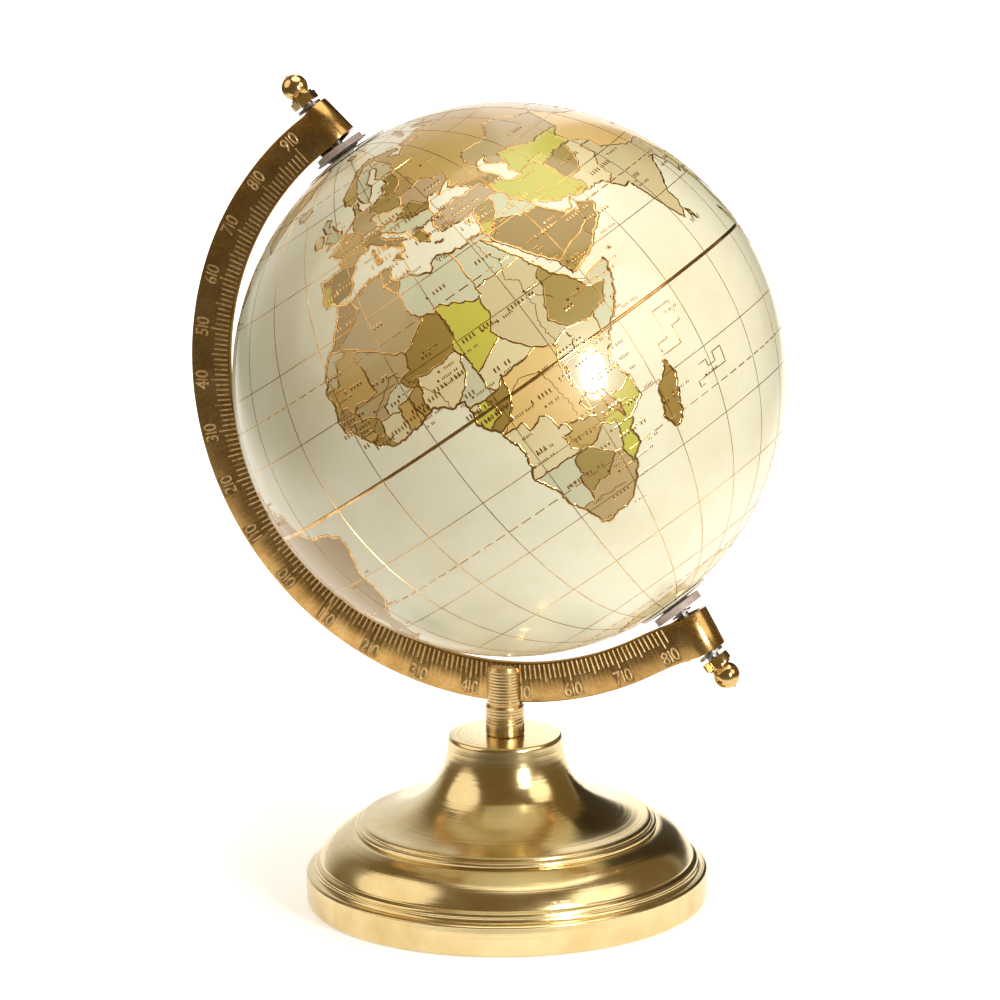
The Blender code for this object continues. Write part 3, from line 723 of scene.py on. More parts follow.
# %% Coasts of Africa and Eurasia
COASTS = """
-6 36, -2 35, 3 37, 8 37, 11 37, 10 34, 11.5 33, 14 33, 17 31, 19 30.3, 20 32, 22 33, 25 31.6, 29 31,
31 31.5, 34.2 31.3
34.2 31.3, 35 33.1, 36 36, 36 36.8, 34 36.3, 32.5 36.1, 30.6 36.8, 29 36.4, 27.3 37, 26.3 39, 26.5 40.3,
29 40.7, 31.5 41.3, 35 42, 38.3 41, 41.6 41.6
41.6 41.6, 39 44, 37 45.3, 39 47.2, 35 46, 33.5 45, 33.5 46, 30.8 46.5, 29.7 45.3, 28.6 43.7, 28 42.5,
28.5 41.3, 26.5 40.7, 24 40.8, 23 40.3, 24 38, 22.8 36.6, 21.2 37.8, 20 39.7, 19.4 41, 19 42, 15 44.2,
13.6 45.6
13.6 45.6, 12.3 45, 13.6 43.5, 16 42, 18.5 40.2, 17 40.5, 17 39, 15.8 38, 15.6 40, 12.5 41.5, 10.3 43.5,
8.8 44.4, 7.5 43.8, 4.5 43.4, 3.1 42.5, 3.2 41.9, 0 39.8, 0.2 38.7, -2 36.8, -5.5 36.1
-5.5 36.1, -7.4 37.2, -9 37, -9.5 38.8, -8.8 41.9, -9.2 43.1, -1.8 43.4, -1.2 46, -4.7 48.3, -1.6 48.7,
1.6 50.6, 2.5 51.1, 4 51.8, 7 53.3, 8.2 53.8, 8.2 57, 10.6 57.7, 10.2 55.5, 11 54, 14.2 53.9, 18.7 54.6,
21 55.5, 21.5 57.3, 24 57.2, 23.5 59.2, 28 59.6, 29.8 60, 28 60.5, 22.5 60, 21.3 61.5, 25 64.8, 24 65.8,
22 65.8, 17.3 61.5, 18.5 60, 16.5 57, 14.3 55.4, 12.8 56, 11.2 59, 8 58, 5.3 59, 5 62, 12 66, 16 69,
25.7 71, 30.5 69.8, 41 67.5, 40 66.3, 33 66.6, 38 64, 44 66.5, 44 68, 54 68.5, 60.5 69.5, 68 68.5, 67 72,
73 73, 73 68, 80 73, 104 77.7, 113 73.8, 129 71, 140 72.5, 160 69.8, 170 69.5, 179.9 68.9
179.9 65, 177 62.5, 163 60, 163 56, 157 51, 156 57, 164 62, 155 59.3, 142 59.3, 135 54.7, 141 53, 140 48,
132 43, 130.6 42.4, 129.5 41, 129 37, 128.5 35, 126.4 34.5, 126.7 37.8, 124.5 40, 121.5 39, 121.5 40.8,
118 39, 122.5 37, 119.3 35, 121.8 31.5, 121.5 28, 117 23.5, 110.5 21.2, 108 21.6, 105.8 19, 109.2 13,
109 11.5, 105 8.6, 104.5 10.5, 102.5 12.2, 100.8 13.4, 99.3 10, 100.5 7.2, 103.4 4, 104.2 1.4, 101.3 2.9,
98.3 8, 98.6 12, 97 17, 94.3 16, 94 19, 92.2 21, 91.8 22.4, 88 21.7, 86.5 20, 82.3 16.7, 80.2 15, 80 12,
79.3 10.3, 77.5 8, 76.3 10, 74.5 14, 72.8 19, 72.7 21, 70.5 20.8, 68.2 23.5, 67 24.8, 61.6 25.2,
57.3 25.6, 56.5 27, 54 26.6, 50.8 28.8, 50 30.2, 48.5 30, 48.4 28.8, 50 26.5, 50.8 25.6, 51.5 24.4,
54.5 24.2, 56.3 26.2, 56.6 24.4, 59.8 22.5, 57.8 19, 55.2 17.5, 53 16.6, 52.2 15.6, 45 12.8, 43.4 12.7,
42.8 16.4, 39 21.3, 37.2 24.6, 34.7 28, 35 29.5, 34.3 27.8, 32.5 29.9
32.5 29.9, 33.6 27.9, 35.5 24, 37 22, 37.3 20, 38.5 18, 39.5 15.5, 42.5 12.7, 43.2 11.5, 44.5 10.5,
48 11.2, 51.2 12, 51 10.4, 49.5 7, 48 4.5, 45.5 2, 42 -1, 41.5 -1.7, 39.2 -4.7, 38.8 -6.5, 39.5 -9,
40.4 -10.5, 40.7 -15, 37 -17.5, 34.9 -20, 35.5 -23.5, 32.9 -25.5, 32.8 -26.9, 31 -29.5, 28 -33, 25.5 -34,
22 -34.2, 20 -34.8, 18.4 -34, 18 -32, 16.5 -28.6, 15 -26, 14.4 -22.5, 12.5 -18.5, 11.8 -17.2, 13.5 -12.5,
13.2 -9, 12.3 -6, 12 -5, 11 -3.9, 9 -1, 9.5 1, 9.8 2.3, 9.5 4, 8.6 4.6, 6.5 4.3, 5 6, 3.3 6.4, 2.7 6.3,
1.2 6.1, -2 4.8, -3.1 5.1, -7.5 4.4, -11.4 6.9, -13.3 9, -15 11, -16.7 12.4, -17.4 14.7, -16.5 16,
-16.3 19, -17 20.8, -15 25, -13 27.7, -10 29.5, -9.6 31, -7 33.5, -6 36
48.9 38.4, 50.5 36.9, 54 37.3, 53 40, 54.5 41.5, 50.5 44.5, 53 46.8, 49 46, 47.2 44, 48.6 41.8,
49.5 40.3, 48.9 38.4
"""

# %% Islands, the Americas, Australia and the ice
ISLANDS = """
49.3 -12, 50.4 -15.7, 49.5 -18, 47.3 -24.8, 45.1 -25.6, 43.3 -22, 44.4 -19.5, 44.4 -16.3, 47 -15, 49.3 -12
-5.5 50, 1.4 51.2, 1.6 52.8, 0 53, -1.6 55.5, -3 56, -2 57.6, -4 58.6, -6 57, -4.8 54.8, -3 54,
-4.5 53.2, -5.2 51.8, -3 51.4, -5.5 50
-10 51.8, -6.3 52.2, -6 54, -7.5 55.3, -10 54.3, -10 51.8
-22.5 64, -18.5 63.4, -13.6 65, -16 66.5, -24 65.5, -22.5 64
8.5 39, 9.7 39.2, 9.4 41, 8.3 40.8, 8.5 39
8.8 41.5, 9.5 42.2, 9.2 43, 8.6 42.4, 8.8 41.5
12.5 37.8, 15 36.7, 15.5 38.2, 12.8 38.1, 12.5 37.8
23.6 35.4, 26.2 35.2, 24.8 35, 23.6 35.4
32.5 35, 34 35.1, 34.5 35.6, 33 35.3, 32.5 35
53.5 12.4, 54.5 12.5, 54 12.8, 53.5 12.4
79.8 8, 81.6 6.5, 81 8.8, 80 9.8, 79.8 8
95.3 5.6, 98 4, 103 0, 106 -3, 105.8 -5.8, 103 -4.5, 99 0, 95.3 5.6
105.3 -6.6, 110.5 -6.5, 114.5 -7.8, 113 -8.5, 108 -7.8, 105.3 -6.6
109.2 2, 111.3 2.5, 114 4.6, 117 7, 119 5.2, 117.8 2, 116.3 -3.8, 113 -3.2, 110 -2.5, 109.2 2
119.5 -5.5, 119 -3, 120.2 0.8, 125 1.4, 121 0.4, 121.3 -1, 123.3 -1, 121.6 -2, 122.8 -4.6, 121 -2.8,
120.4 -5.5, 119.5 -5.5
131 -0.8, 134.5 -3.3, 138 -1.7, 145 -4.5, 150.6 -10.6, 147 -9.5, 143 -9, 138.8 -8, 138 -5.5, 133 -4,
131 -0.8
120.3 16, 121 18.5, 122.2 18.3, 121.6 14.3, 124 12.8, 120.5 14, 120.3 16
122 7, 124 8.5, 126.3 8, 125.5 6, 122 7
120.2 22.5, 121 22, 122 25, 120.8 24.5, 120.2 22.5
130 31.5, 131.5 31.3, 132 33.8, 135.5 33.6, 140.3 35.2, 142 39.5, 141.2 41.4, 140 40, 139.5 38.2,
137 36.9, 133 35.4, 131 34.3, 130 31.5
140 42, 143.2 42, 145.3 43.5, 141.8 45.4, 140 42
142 46, 143.5 49, 142.5 54, 142 46
113.5 -22, 114 -26.5, 115.7 -32, 115 -34.3, 118 -35, 124 -33, 131 -31.5, 135 -34.7, 138.5 -34.8, 141 -38,
146.3 -39, 150 -37.3, 153.5 -29, 153 -25.5, 149 -21, 146 -18.8, 145.3 -15, 142.5 -10.8, 141 -17,
139 -17.5, 135.6 -15, 136.8 -12.2, 132.5 -11.3, 129.5 -15, 126 -14, 122.3 -18, 113.5 -22
145 -41, 148 -41, 147.5 -43.3, 146 -43.4, 145 -41
172.7 -34.5, 178.5 -37.8, 175.3 -41.6, 173.8 -39.2, 175 -37.3, 172.7 -34.5
172.7 -40.6, 174.2 -41.8, 171 -44.5, 168.5 -46.5, 166.5 -46, 172.7 -40.6
-73 78, -60 82, -32 83.5, -15 80, -20 75, -22 71, -32 68, -43 60, -51 64, -54 70, -60 76, -73 78
-82 23, -75 20.2, -77.5 20, -82 23
-74 18.4, -68.5 18.5, -70 19.8, -74 18.4
-80 73, -68 70, -62 66, -66 62.5, -72 64.5, -74 68, -88 71, -80 73
-118 69, -105 69, -105 73, -118 72, -118 69
-90 76.5, -80 76.5, -65 81.5, -85 82.5, -90 76.5
11 79.5, 16 76.8, 22 78.5, 18 80, 11 79.5
52 71, 56 71, 68 76.5, 60 76, 52 71
-168 65.6, -161 66.5, -166.5 68.3, -156.5 71.2, -141 69.7
-141 69.7, -128 70.5, -115 68, -95 68, -94 72, -86 67.5, -82 69.5, -87 64, -94.5 60, -92.5 57,
-82.5 55.2, -80 51.3, -76.5 57, -78 62.5, -70 61, -65 58.5, -56 53, -60 50, -66.5 50, -65 47.5,
-60.5 46.5, -67 44.8
-67 44.8, -70.5 43, -70 41.6, -74 40.5, -75.7 35.5, -81 31.8, -80 25.2, -82 28, -84 30, -89.5 29.5,
-97.2 26
-97.2 26, -97.7 22, -95 18.5, -90.5 20.8, -87 21.3, -88.2 18.4
-88.2 18.4, -88.5 16, -83.3 15, -83.7 11, -79.5 9.4, -77.3 8.6
-77.3 8.6, -75.5 10.7, -72 12, -71.5 11, -67 10.6, -62 10.6, -60 8.4
-60 8.4, -57 6, -51.5 4.3, -50 1.5, -48.5 -0.8, -44.5 -2.7, -39.5 -3, -35.3 -5.2, -34.8 -7.5,
-37.5 -11.5, -39 -13.5, -39.2 -17.8, -41 -22, -44.5 -23.2, -48.5 -25.8, -48.7 -28.5, -53.4 -33.7
-53.4 -33.7, -58.3 -34.2, -56.8 -36.5, -62.2 -39, -65 -41, -65.3 -45, -67.5 -46.3, -65.8 -48, -69 -51.5,
-68.5 -52.4
-68.5 -52.4, -65.2 -54.8, -68.5 -55.5, -74.5 -51.5, -75.5 -47, -73.5 -41.8, -73.5 -37.2, -71.5 -30,
-70.4 -18.4
-70.4 -18.4, -76.2 -14, -79.7 -7.2, -81.3 -4.5, -80.3 -3.4
-80.3 -3.4, -80.8 -1, -78.9 1.4, -77.3 4, -77.8 7.2, -77.3 8.6
-77.3 8.6, -80 7.5, -83 8.3, -85.7 10, -87.6 13, -92.2 14.5
-92.2 14.5, -95 16, -101 17.3, -105.5 20.3, -106 23, -109 26, -112.5 29.8, -114.7 31.7, -112 26.5,
-109.5 23, -112.2 26, -115 28, -117 32.5
-117 32.5, -120.6 34.5, -124.3 40.3, -124 46.2, -123 49
-123 49, -128 51, -133 55, -139 59.8, -147 61, -152 59.2, -158 56.2, -162 58.7, -165 62, -161 64.5,
-168 65.6
-179.9 68.9, -170 66, -175 64.4, -179.9 65
-179.9 -78, -160 -78, -150 -77, -135 -74.5, -100 -73, -75 -73, -68 -67, -58 -63.5, -62 -68, -62 -74.5,
-40 -78, -20 -73, 0 -70, 30 -69.5, 55 -66.5, 75 -69, 100 -66, 130 -66, 150 -68.5, 165 -71, 164 -77.5,
179.9 -78
"""

# %% Borders inside Africa
AFRICA = """
-2 35, -1.2 32.2, -5.5 29.7, -8.7 28.7, -8.7 27.3
-13 27.7, -8.7 27.3, -4.8 25
-8.7 27.3, -8.7 26, -12 26, -12 23.4, -13 23, -13 21.3, -17 20.8
-4.8 25, -6.5 25, -5.5 16, -5.3 15.5, -11.5 15.5, -12.2 14.8, -14 16.6, -16.5 16
-12.2 14.8, -11.4 12.4, -13.7 12.6, -16.7 12.4
-13.7 12.6, -13.8 11.5, -15 11
-11.4 12.4, -8.5 11.5, -8 10.2, -8.2 8, -8.4 7.6, -7.5 4.4
-8.4 7.6, -10.2 8.4, -11.4 6.9
-10.2 8.4, -11 10, -13.3 9
-8 10.2, -5.5 10.3, -2.8 9.7, -3.1 5.1
-5.5 10.3, -5.2 12, -3 14, 0.2 15, 1 13.3, 2.3 12.1, 0 11.1, -2.8 11, -2.8 9.7
0 11.1, 0.5 8, 1.2 6.1
2.3 12.1, 3.6 11.8, 2.7 9, 2.7 6.3
0.2 15, 3.5 15.5, 4.2 19.2, 1.8 20.5, -4.8 25
4.2 19.2, 5.8 19.5, 12 23.5, 10 25, 9.5 27, 9.5 30.3, 7.5 33.5, 8 37
9.5 30.3, 11.5 33
12 23.5, 14.2 22.6, 15 23, 16 23.4, 24 19.5, 24 20, 25 20, 25 22, 25 31.6
25 22, 37 22
15 23, 15.5 17, 13.6 13.7, 14.2 12.6, 15 10, 15.2 7.5, 19 9, 22.9 11, 22 13, 24 15.5, 24 19.5
3.6 11.8, 4.1 13.5, 7 13, 13.6 13.7
14.2 12.6, 13 9, 11.5 6.8, 8.6 4.6
22.9 11, 24.5 8.5, 27.4 5, 22.5 4.2, 18.6 4, 16.2 2.2, 15 4, 15.2 7.5
16.2 2.2, 13.3 2.2, 11.3 2.3, 9.8 2.3
11.3 2.3, 11.3 1, 9.5 1
13.3 2.2, 14.3 0, 14 -2.4, 11.5 -2.8, 11 -3.9
18.6 4, 17.8 0, 16 -3, 15.2 -4.5, 13 -4.6, 12 -5
12.3 -6, 16.5 -5.9, 17 -8, 19 -8, 20 -7, 21.8 -7.3, 22 -11, 24 -11, 24 -13, 22 -13, 22 -16, 23.4 -17.6,
18.5 -17.4, 14 -17.4, 11.8 -17.2
24 -11, 26 -12, 28.5 -12.5, 29.8 -13.4, 29.8 -12.2, 28.4 -9.3, 30.8 -8.3, 29.4 -6, 29.4 -4.4, 29 -2.7,
29.6 -1.4, 29.8 0.8, 31.3 2.2, 30.8 3.5, 27.4 5
29.4 -4.4, 30.6 -2.6, 30.5 -1.1, 29.6 -1.4
30.5 -1.1, 34 -1, 34 0.5, 35 2, 34 4.2, 30.8 3.5
34 -1, 37.6 -3, 39.2 -4.7
34 4.2, 35.9 4.6, 38 3.6, 41.9 4, 41 3, 41 -0.9, 41.5 -1.7
41.9 4, 45 5, 48 8, 44 9, 43.2 11.5
35.9 4.6, 33 8, 34.3 10.6, 36.3 14, 36.9 17, 38.5 18
30.8 -8.3, 33 -9.5, 34 -9.6, 34.6 -11.5, 37.5 -11.7, 40.4 -10.5
34.6 -11.5, 35.8 -14.6, 35.3 -17, 34.4 -14.5, 33 -14, 33.2 -11.6, 33 -9.5
33 -14, 30.3 -15.6, 27.1 -17.9, 25.3 -17.8, 23.4 -17.6
30.3 -15.6, 32.9 -17, 32.5 -20.5, 31.3 -22.4, 29.4 -22.2, 27.2 -20, 25.3 -17.8, 21 -18.3, 21 -22, 20 -22,
20 -24.9
20 -24.9, 20 -28.4, 16.5 -28.6
20 -24.9, 20.8 -26.8, 23 -25.3, 25.8 -25.5, 29.4 -22.2
31.3 -22.4, 32 -25, 32 -26.9, 32.8 -26.9
"""

# %% Borders of Europe, Asia and the Americas
ELSEWHERE = """
34.2 31.3, 35 29.5, 37.5 30, 37 31.5, 39 32, 36.8 32.5, 35 33.1
39 32, 44.7 29.2, 48.4 28.8
39 32, 41.2 34.5, 42.3 37.1, 36.8 36.7, 36 36
42.3 37.1, 44.8 37.1, 46 35.5, 45.5 33.5, 47.8 31, 48.5 30
44.8 37.1, 44.5 39.7, 43.5 41.1, 41.6 41.6
44.5 39.7, 48.9 38.4
39 44, 44 42.8, 48.6 41.8
54 37.3, 57.5 38, 61.2 35.6, 60.8 31.5, 61.6 29.5, 63.2 27.2, 61.6 25.2
61.2 35.6, 64.5 36.5, 68 37, 74.8 37
61.6 29.5, 66.3 30, 69.5 33, 71.5 36.5, 74.8 37, 79 34
68.2 23.5, 71 25, 70.5 28, 74.5 31, 74 34, 79 34
42.8 16.4, 45 17.3, 52 19, 53 16.6
52 19, 55 20, 55.2 22.7, 51.5 24.4
55.2 22.7, 56.6 24.4
-8.8 41.9, -6.5 41.5, -7 39, -7.4 37.2
-1.8 43.4, 3.1 42.5
2.5 51.1, 6 49.5, 8.2 49, 7.6 47.6, 6.2 46.3, 7 45.9, 7.5 43.8
6 49.5, 6 51, 7 53.3
14.2 53.9, 14.8 51, 12.2 50.3, 13.5 48.7, 13 47.6, 7.6 47.6
7 45.9, 10.5 46.7, 13.6 46.5, 13.6 45.6
13 47.6, 13.6 46.5, 16.5 46.7, 19 46, 22.2 47, 22.5 48.2, 22.5 49, 18.5 49.5, 14.8 51
19 46, 22.5 44.5, 28.6 43.7
20 39.7, 21 40.9, 26.5 40.7
22.5 49, 24 51, 23.5 54, 18.7 54.6
22.5 48.2, 26.5 48, 28.2 45.5, 29.7 45.3
39 47.2, 40 49.6, 35.5 50.4, 33.5 52.3, 31 52, 24 51
31 52, 31 55.5, 28.2 56, 26 54.5, 23.5 54
28.2 56, 27.7 57.5, 28 59.6
28 60.5, 31.5 62.8, 29 66, 28.5 69, 30.5 69.8
28.5 69, 24 68.7, 20.5 69, 14 65, 12 61.5, 11.2 59
24 68.7, 24 65.8
49 46, 47 48.5, 50 51.5, 61 51, 70 55, 77 53.8, 80 50.8, 87 49.2, 98 52, 107 49.6, 116 49.8, 120 53,
126 52.8, 131 47.8, 135 48.4, 131 45, 130.6 42.4
116 49.8, 119.8 46.8, 111.5 43.5, 105 41.7, 96 42.8, 90.5 45, 87 49.2
87 49.2, 82.5 45.3, 80 42, 74 39.5, 74.8 37
54.5 41.5, 56 45, 61 44, 66.5 42, 71 42.5, 80 42
79 34, 79 31, 81.5 30.2, 88 27.9, 92 27.7, 97 28.3, 98.5 24, 101.5 21.3, 108 21.6
97 28.3, 94.5 25, 92.2 21
98.5 24, 97.8 18, 98.6 12
101.5 21.3, 104.5 17.5, 105.5 14.3, 102.5 12.2
130.6 42.4, 126.5 41.7, 124.5 40
-141 69.7, -141 60.3, -139 59.8
-123 49, -95 49, -89 48, -82.5 45.3, -82.5 42, -79 43.3, -75 45, -70.5 46.5, -67 44.8
-117 32.5, -111 31.3, -106.5 31.7, -101.5 29.7, -97.2 26
-92.2 14.5, -91 17.5, -88.2 18.4
-60 8.4, -61 5, -64.5 4, -67.3 1.5, -70 0.5, -69.8 -4.2, -73.5 -7, -70.5 -11, -65.3 -10, -60 -15,
-58 -20, -57.8 -22.2, -54.3 -24.5, -53.8 -27, -57.6 -30.2, -53.4 -33.7
-77.3 8.6, -72.5 9, -70 6, -67.3 1.5
-80.3 -3.4, -75.5 0, -70 0.5
-80.3 -3.4, -78 -4
-69.8 -4.2, -73 -2.5, -75.5 0
-70.4 -18.4, -69.5 -17, -70.5 -11
-69.5 -17, -68 -22.8, -62.5 -22.2, -58 -20
-68 -22.8, -70 -32, -72 -41, -72.5 -50, -68.5 -52.4
-57.8 -22.2, -62.5 -22.2
-58.3 -34.2, -57.6 -30.2
113.7 -3, 114 4.6
141 -2.8, 141 -9
129 -15, 129 -31.7
138 -17.5, 138 -26, 129 -26
141 -38, 141 -26, 138 -26
141 -29, 153.4 -28.5
"""


def lines_of(text):
    """Each row of the text as an array of (longitude, latitude) points. A row that ends in a comma goes
    on in the next one."""
    return [np.array([[float(v) for v in pair.split()] for pair in row.split(",")])
            for row in text.strip().replace(",\n", ", ").splitlines()]


coasts = lines_of(COASTS) + lines_of(ISLANDS)
borders = lines_of(AFRICA) + lines_of(ELSEWHERE)
print("map lines:", len(coasts), "coasts,", len(borders), "borders,",
      sum(map(len, coasts + borders)), "points")

# %% [markdown]
# Straight strokes between half-degree points would look like a child's drawing. Each line is cut into
# short steps, and every point is moved by a smooth field of three sine waves, about a fifth of a degree.
# The move depends only on the place, so lines that share a point still share it afterwards.

# %% Natural looking lines
def densify(line, step):
    """The line with points added so that no step is longer than this many degrees."""
    cuts = np.maximum(1, np.ceil(np.hypot(*np.diff(line, axis=0).T) / step))
    at = np.concatenate([[0], np.cumsum(cuts)])
    k = np.arange(at[-1] + 1)
    return np.stack([np.interp(k, at, line[:, 0]), np.interp(k, at, line[:, 1])], 1)


def wander(p, size):
    """Each point moved by size times a sum of sines of (longitude, latitude). The map's edge stays put."""
    x, y = p[:, 0], p[:, 1]
    dx = (np.sin(2.1 * x + 1.3 * y) + 0.7 * np.sin(4.1 * y - 1.7 * x + 1)
          + 0.45 * np.sin(8.9 * x + 5.1 * y + 2))
    dy = (np.sin(1.9 * y - 1.5 * x + 1) + 0.7 * np.sin(3.7 * x + 2.3 * y)
          + 0.45 * np.sin(9.1 * y - 6.7 * x + 2))
    hold = (np.abs(x) < 179.8)[:, None]
    moved = p + size * hold * np.stack([dx, dy], 1)
    moved[:, 0] = np.where(hold[:, 0], moved[:, 0], np.sign(x) * 180.0)
    return moved


coast_lines = [wander(densify(line, 0.6), 0.17) for line in coasts]
border_lines = [wander(densify(line, 0.8), 0.17) for line in borders]
print("points after cutting:", sum(map(len, coast_lines + border_lines)))

# %% [markdown]
# All lines go into one constrained Delaunay triangulation of the longitude-latitude sheet, with a
# 2.5 degree lattice of extra points so that the skin follows the ball. Triangles that touch without a
# line between them belong to one country. Each takes the lowest triangle number of its neighbours, over
# and over, until nothing changes, and the seed points give each such patch its colour.

# %% Countries by seed point
PAPER = {
    "sea": "#e8eada", "lime": "#c2c053", "olive": "#98803f", "khaki": "#a08c50", "taupe": "#b6a277",
    "mist": "#cacdb4", "sand": "#cdc29d", "ochre": "#dfc283", "cream": "#dcd3ae", "tan": "#bfa25f",
    "bronze": "#ad9159", "clay": "#b9a27d",
}
SEEDS = """
taupe 3 28, bronze -6 32, mist 17 27, mist 29.5 27, sand 30 15, lime 18.5 15, olive 9.5 17, taupe -3 18
tan -10 20
sand -14 24, bronze 9.3 34.5, cream 8 10, mist 12.8 5.5, cream 20.5 6.5, ochre 23 -3, olive 15.3 -0.5
lime 12.3 -0.8, cream 10.5 1.7
cream 18 -12, tan 26 -14.5, tan 33.8 -13, lime 38.5 -14.5, lime 34.5 -19.5, sand 35 -6.5, khaki 39.5 8.5
mist 46.5 5, mist 49.6 9.8, cream 37.8 0.5
cream 32.5 1.8, tan 30.2 -2.4, sand 29.6 -19, khaki 24 -22, mist 17 -22, taupe 25 -30, bronze -14.5 14.5
clay -15 12.1, khaki -11 11
tan -11.8 8.4, olive -9.3 6.9, cream -5.5 7.5, tan -1.2 8, bronze 1.7 9, mist -1.5 12.5, olive 47 -19
lime -8.2 39.5, olive -4 40, tan 2 47, mist -2 53.5, cream -8 53, taupe 10 51, cream 10 47.3
olive 12.5 43, olive 14 37.5
bronze 9 40, bronze 9.1 42.3, khaki 19.5 52, cream 17 48, mist 17 45, olive 23 46.2, olive 22 38.7
tan 33.2 35.2
clay 32 49, bronze 27.5 53.5, olive 25 57, tan 37 57, mist 15 62, tan 9 61, sand 26 64, clay 34 39
mist 43.5 33
khaki 38.2 34.8, lime 36 31.8, olive 45 24, khaki 46.5 15.2, olive 53.5 22.9, olive 56.5 20.5
lime 54 32, olive 46 40.2
taupe 68 48, lime 60 39, khaki 66 34, cream 69 28, sand 78 22, ochre 104 34, taupe 104 46, cream 96 21
lime 100.5 17, khaki 105 19
mist 127 40, tan 81 7.5, lime 102 -0.5, olive 110 -7.2, mist 114 2.5, cream 120.5 -3, olive 137 -4.5
lime 121 17.3, lime 124.5 7.5, tan 121 23.5, sand 138 36, sand 143 43, olive 143 50, ochre 122 -25
sand 146.5 -42, mist 176 -39.3, mist 170 -44, sand -40 72, sand -17.5 65
clay -150 65, tan -100 58, lime -100 40, olive -102 24, cream -89.8 16, lime -80 22, cream -72 19
tan -74 4, mist -66 7, bronze -57 4, cream -75 -9, khaki -64.5 -17, ochre -60 -21.5
sand -66 -35, olive -72.6 -40, mist -56 -32.5, clay -72 68, sand -112 70.5, sand -78 79, sand 15 78.5
bronze 58 73, cream 40 -80
"""


def patches_of(tris, fences):
    """A patch number for each triangle. Triangles that share an edge not in fences share a patch."""
    edges = np.sort(np.concatenate([tris[:, [0, 1]], tris[:, [1, 2]], tris[:, [2, 0]]]), 1)
    owner = np.tile(np.arange(len(tris)), 3)
    key = edges[:, 0] * 10**6 + edges[:, 1]
    shut = np.isin(key, fences)
    key, owner = key[~shut], owner[~shut]
    order = np.argsort(key, kind="stable")
    key, owner = key[order], owner[order]
    twin = key[1:] == key[:-1]
    a, b = owner[:-1][twin], owner[1:][twin]
    patch = np.arange(len(tris))
    while True:
        low = np.minimum(patch[a], patch[b])
        new = patch.copy()
        np.minimum.at(new, a, low)
        np.minimum.at(new, b, low)
        new = new[new]
        if (new == patch).all():
            return patch
        patch = new


def triangle_at(points, tris, spot):
    """The triangle that holds a spot: the three edge cross products all have one sign."""
    a, b, c = (points[tris[:, k]] - spot for k in range(3))
    sides = np.stack([a[:, 0] * b[:, 1] - a[:, 1] * b[:, 0], b[:, 0] * c[:, 1] - b[:, 1] * c[:, 0],
                      c[:, 0] * a[:, 1] - c[:, 1] * a[:, 0]])
    inside = (sides >= 0).all(0) | (sides <= 0).all(0)
    return int(np.argmax(inside))


CAP = 87.5
edge_lines = [np.array([(-180.0, y), (180.0, y)]) for y in (-CAP, 0.0, CAP)]
edge_lines += [np.array([(x, -CAP), (x, CAP)]) for x in (-180.0, 180.0)]
edge_lines = [densify(line, 2.5) for line in edge_lines]
lattice = np.stack(np.meshgrid(np.arange(-177.5, 178, 2.5), np.arange(-85, 86, 2.5)), -1).reshape(-1, 2)
drawn = coast_lines + border_lines + edge_lines
starts = np.cumsum([0] + [len(line) for line in drawn])
strokes = np.vstack([np.stack([np.arange(s, e - 1), np.arange(s + 1, e)], 1)
                     for s, e in zip(starts, starts[1:])])
stroke_kind = np.concatenate([np.full(len(line) - 1, kind) for kind, group in
                              ((1, coast_lines + border_lines), (0, edge_lines)) for line in group])
sheet_in = np.vstack(drawn + [lattice])
sheet_out, edges_out, tris_out, _, edge_source, _ = delaunay_2d_cdt(
    [Vector(p) for p in sheet_in.tolist()], strokes.tolist(), [], 0, 0.0001)
flat_map = np.array([tuple(p) for p in sheet_out])
tris = np.array(tris_out)
fence = np.array([sorted(e) for e, source in zip(edges_out, edge_source)
                  if any(stroke_kind[s] for s in source if s < len(stroke_kind))])
patch = patches_of(tris, fence[:, 0] * 10**6 + fence[:, 1])
sea = patch[triangle_at(flat_map, tris, np.array([-30.0, 0.5]))]
seeds = [entry.split() for entry in SEEDS.strip().replace("\n", ",").split(",")]
seed_places = np.array([(float(lon), float(lat)) for _, lon, lat in seeds])
colour_of = {}
for (shade, lon, lat), place in zip(seeds, seed_places):
    spot = patch[triangle_at(flat_map, tris, place)]
    if spot == sea or colour_of.get(spot, shade) != shade:
        print("this seed shares its patch:", shade, lon, lat)
    colour_of[spot] = shade
names = list(PAPER)
shade_index = np.array([names.index(colour_of.get(p, "sea")) for p in patch])
shade_index[patch == sea] = 0
print("map:", len(tris), "triangles,", len(colour_of), "coloured patches of", len(np.unique(patch)))

# %% [markdown]
# The printed gores sit 3.7 degrees off the axle, as they often do on a hand-pasted ball, so the
# map has its own frame. A place is centre + R (cos lat (cos a X + sin a E) + sin lat N), where a is the
# longitude past the meridian that faces the front.

# %% From the map to the ball
FACING = math.radians(20.0)
LEAN_FRONT, LEAN_SIDE = math.radians(3.3), math.radians(1.4)
FRONT = np.array([0.3234, -0.9123, 0.2512])
north = POLE - FRONT * (POLE @ FRONT)
north /= np.linalg.norm(north)
east = np.cross(north, FRONT)
north, east = (north * math.cos(LEAN_SIDE) + east * math.sin(LEAN_SIDE),
               east * math.cos(LEAN_SIDE) - north * math.sin(LEAN_SIDE))
MAP_N = north * math.cos(LEAN_FRONT) + FRONT * math.sin(LEAN_FRONT)
MAP_X = FRONT * math.cos(LEAN_FRONT) - north * math.sin(LEAN_FRONT)
MAP_E = east


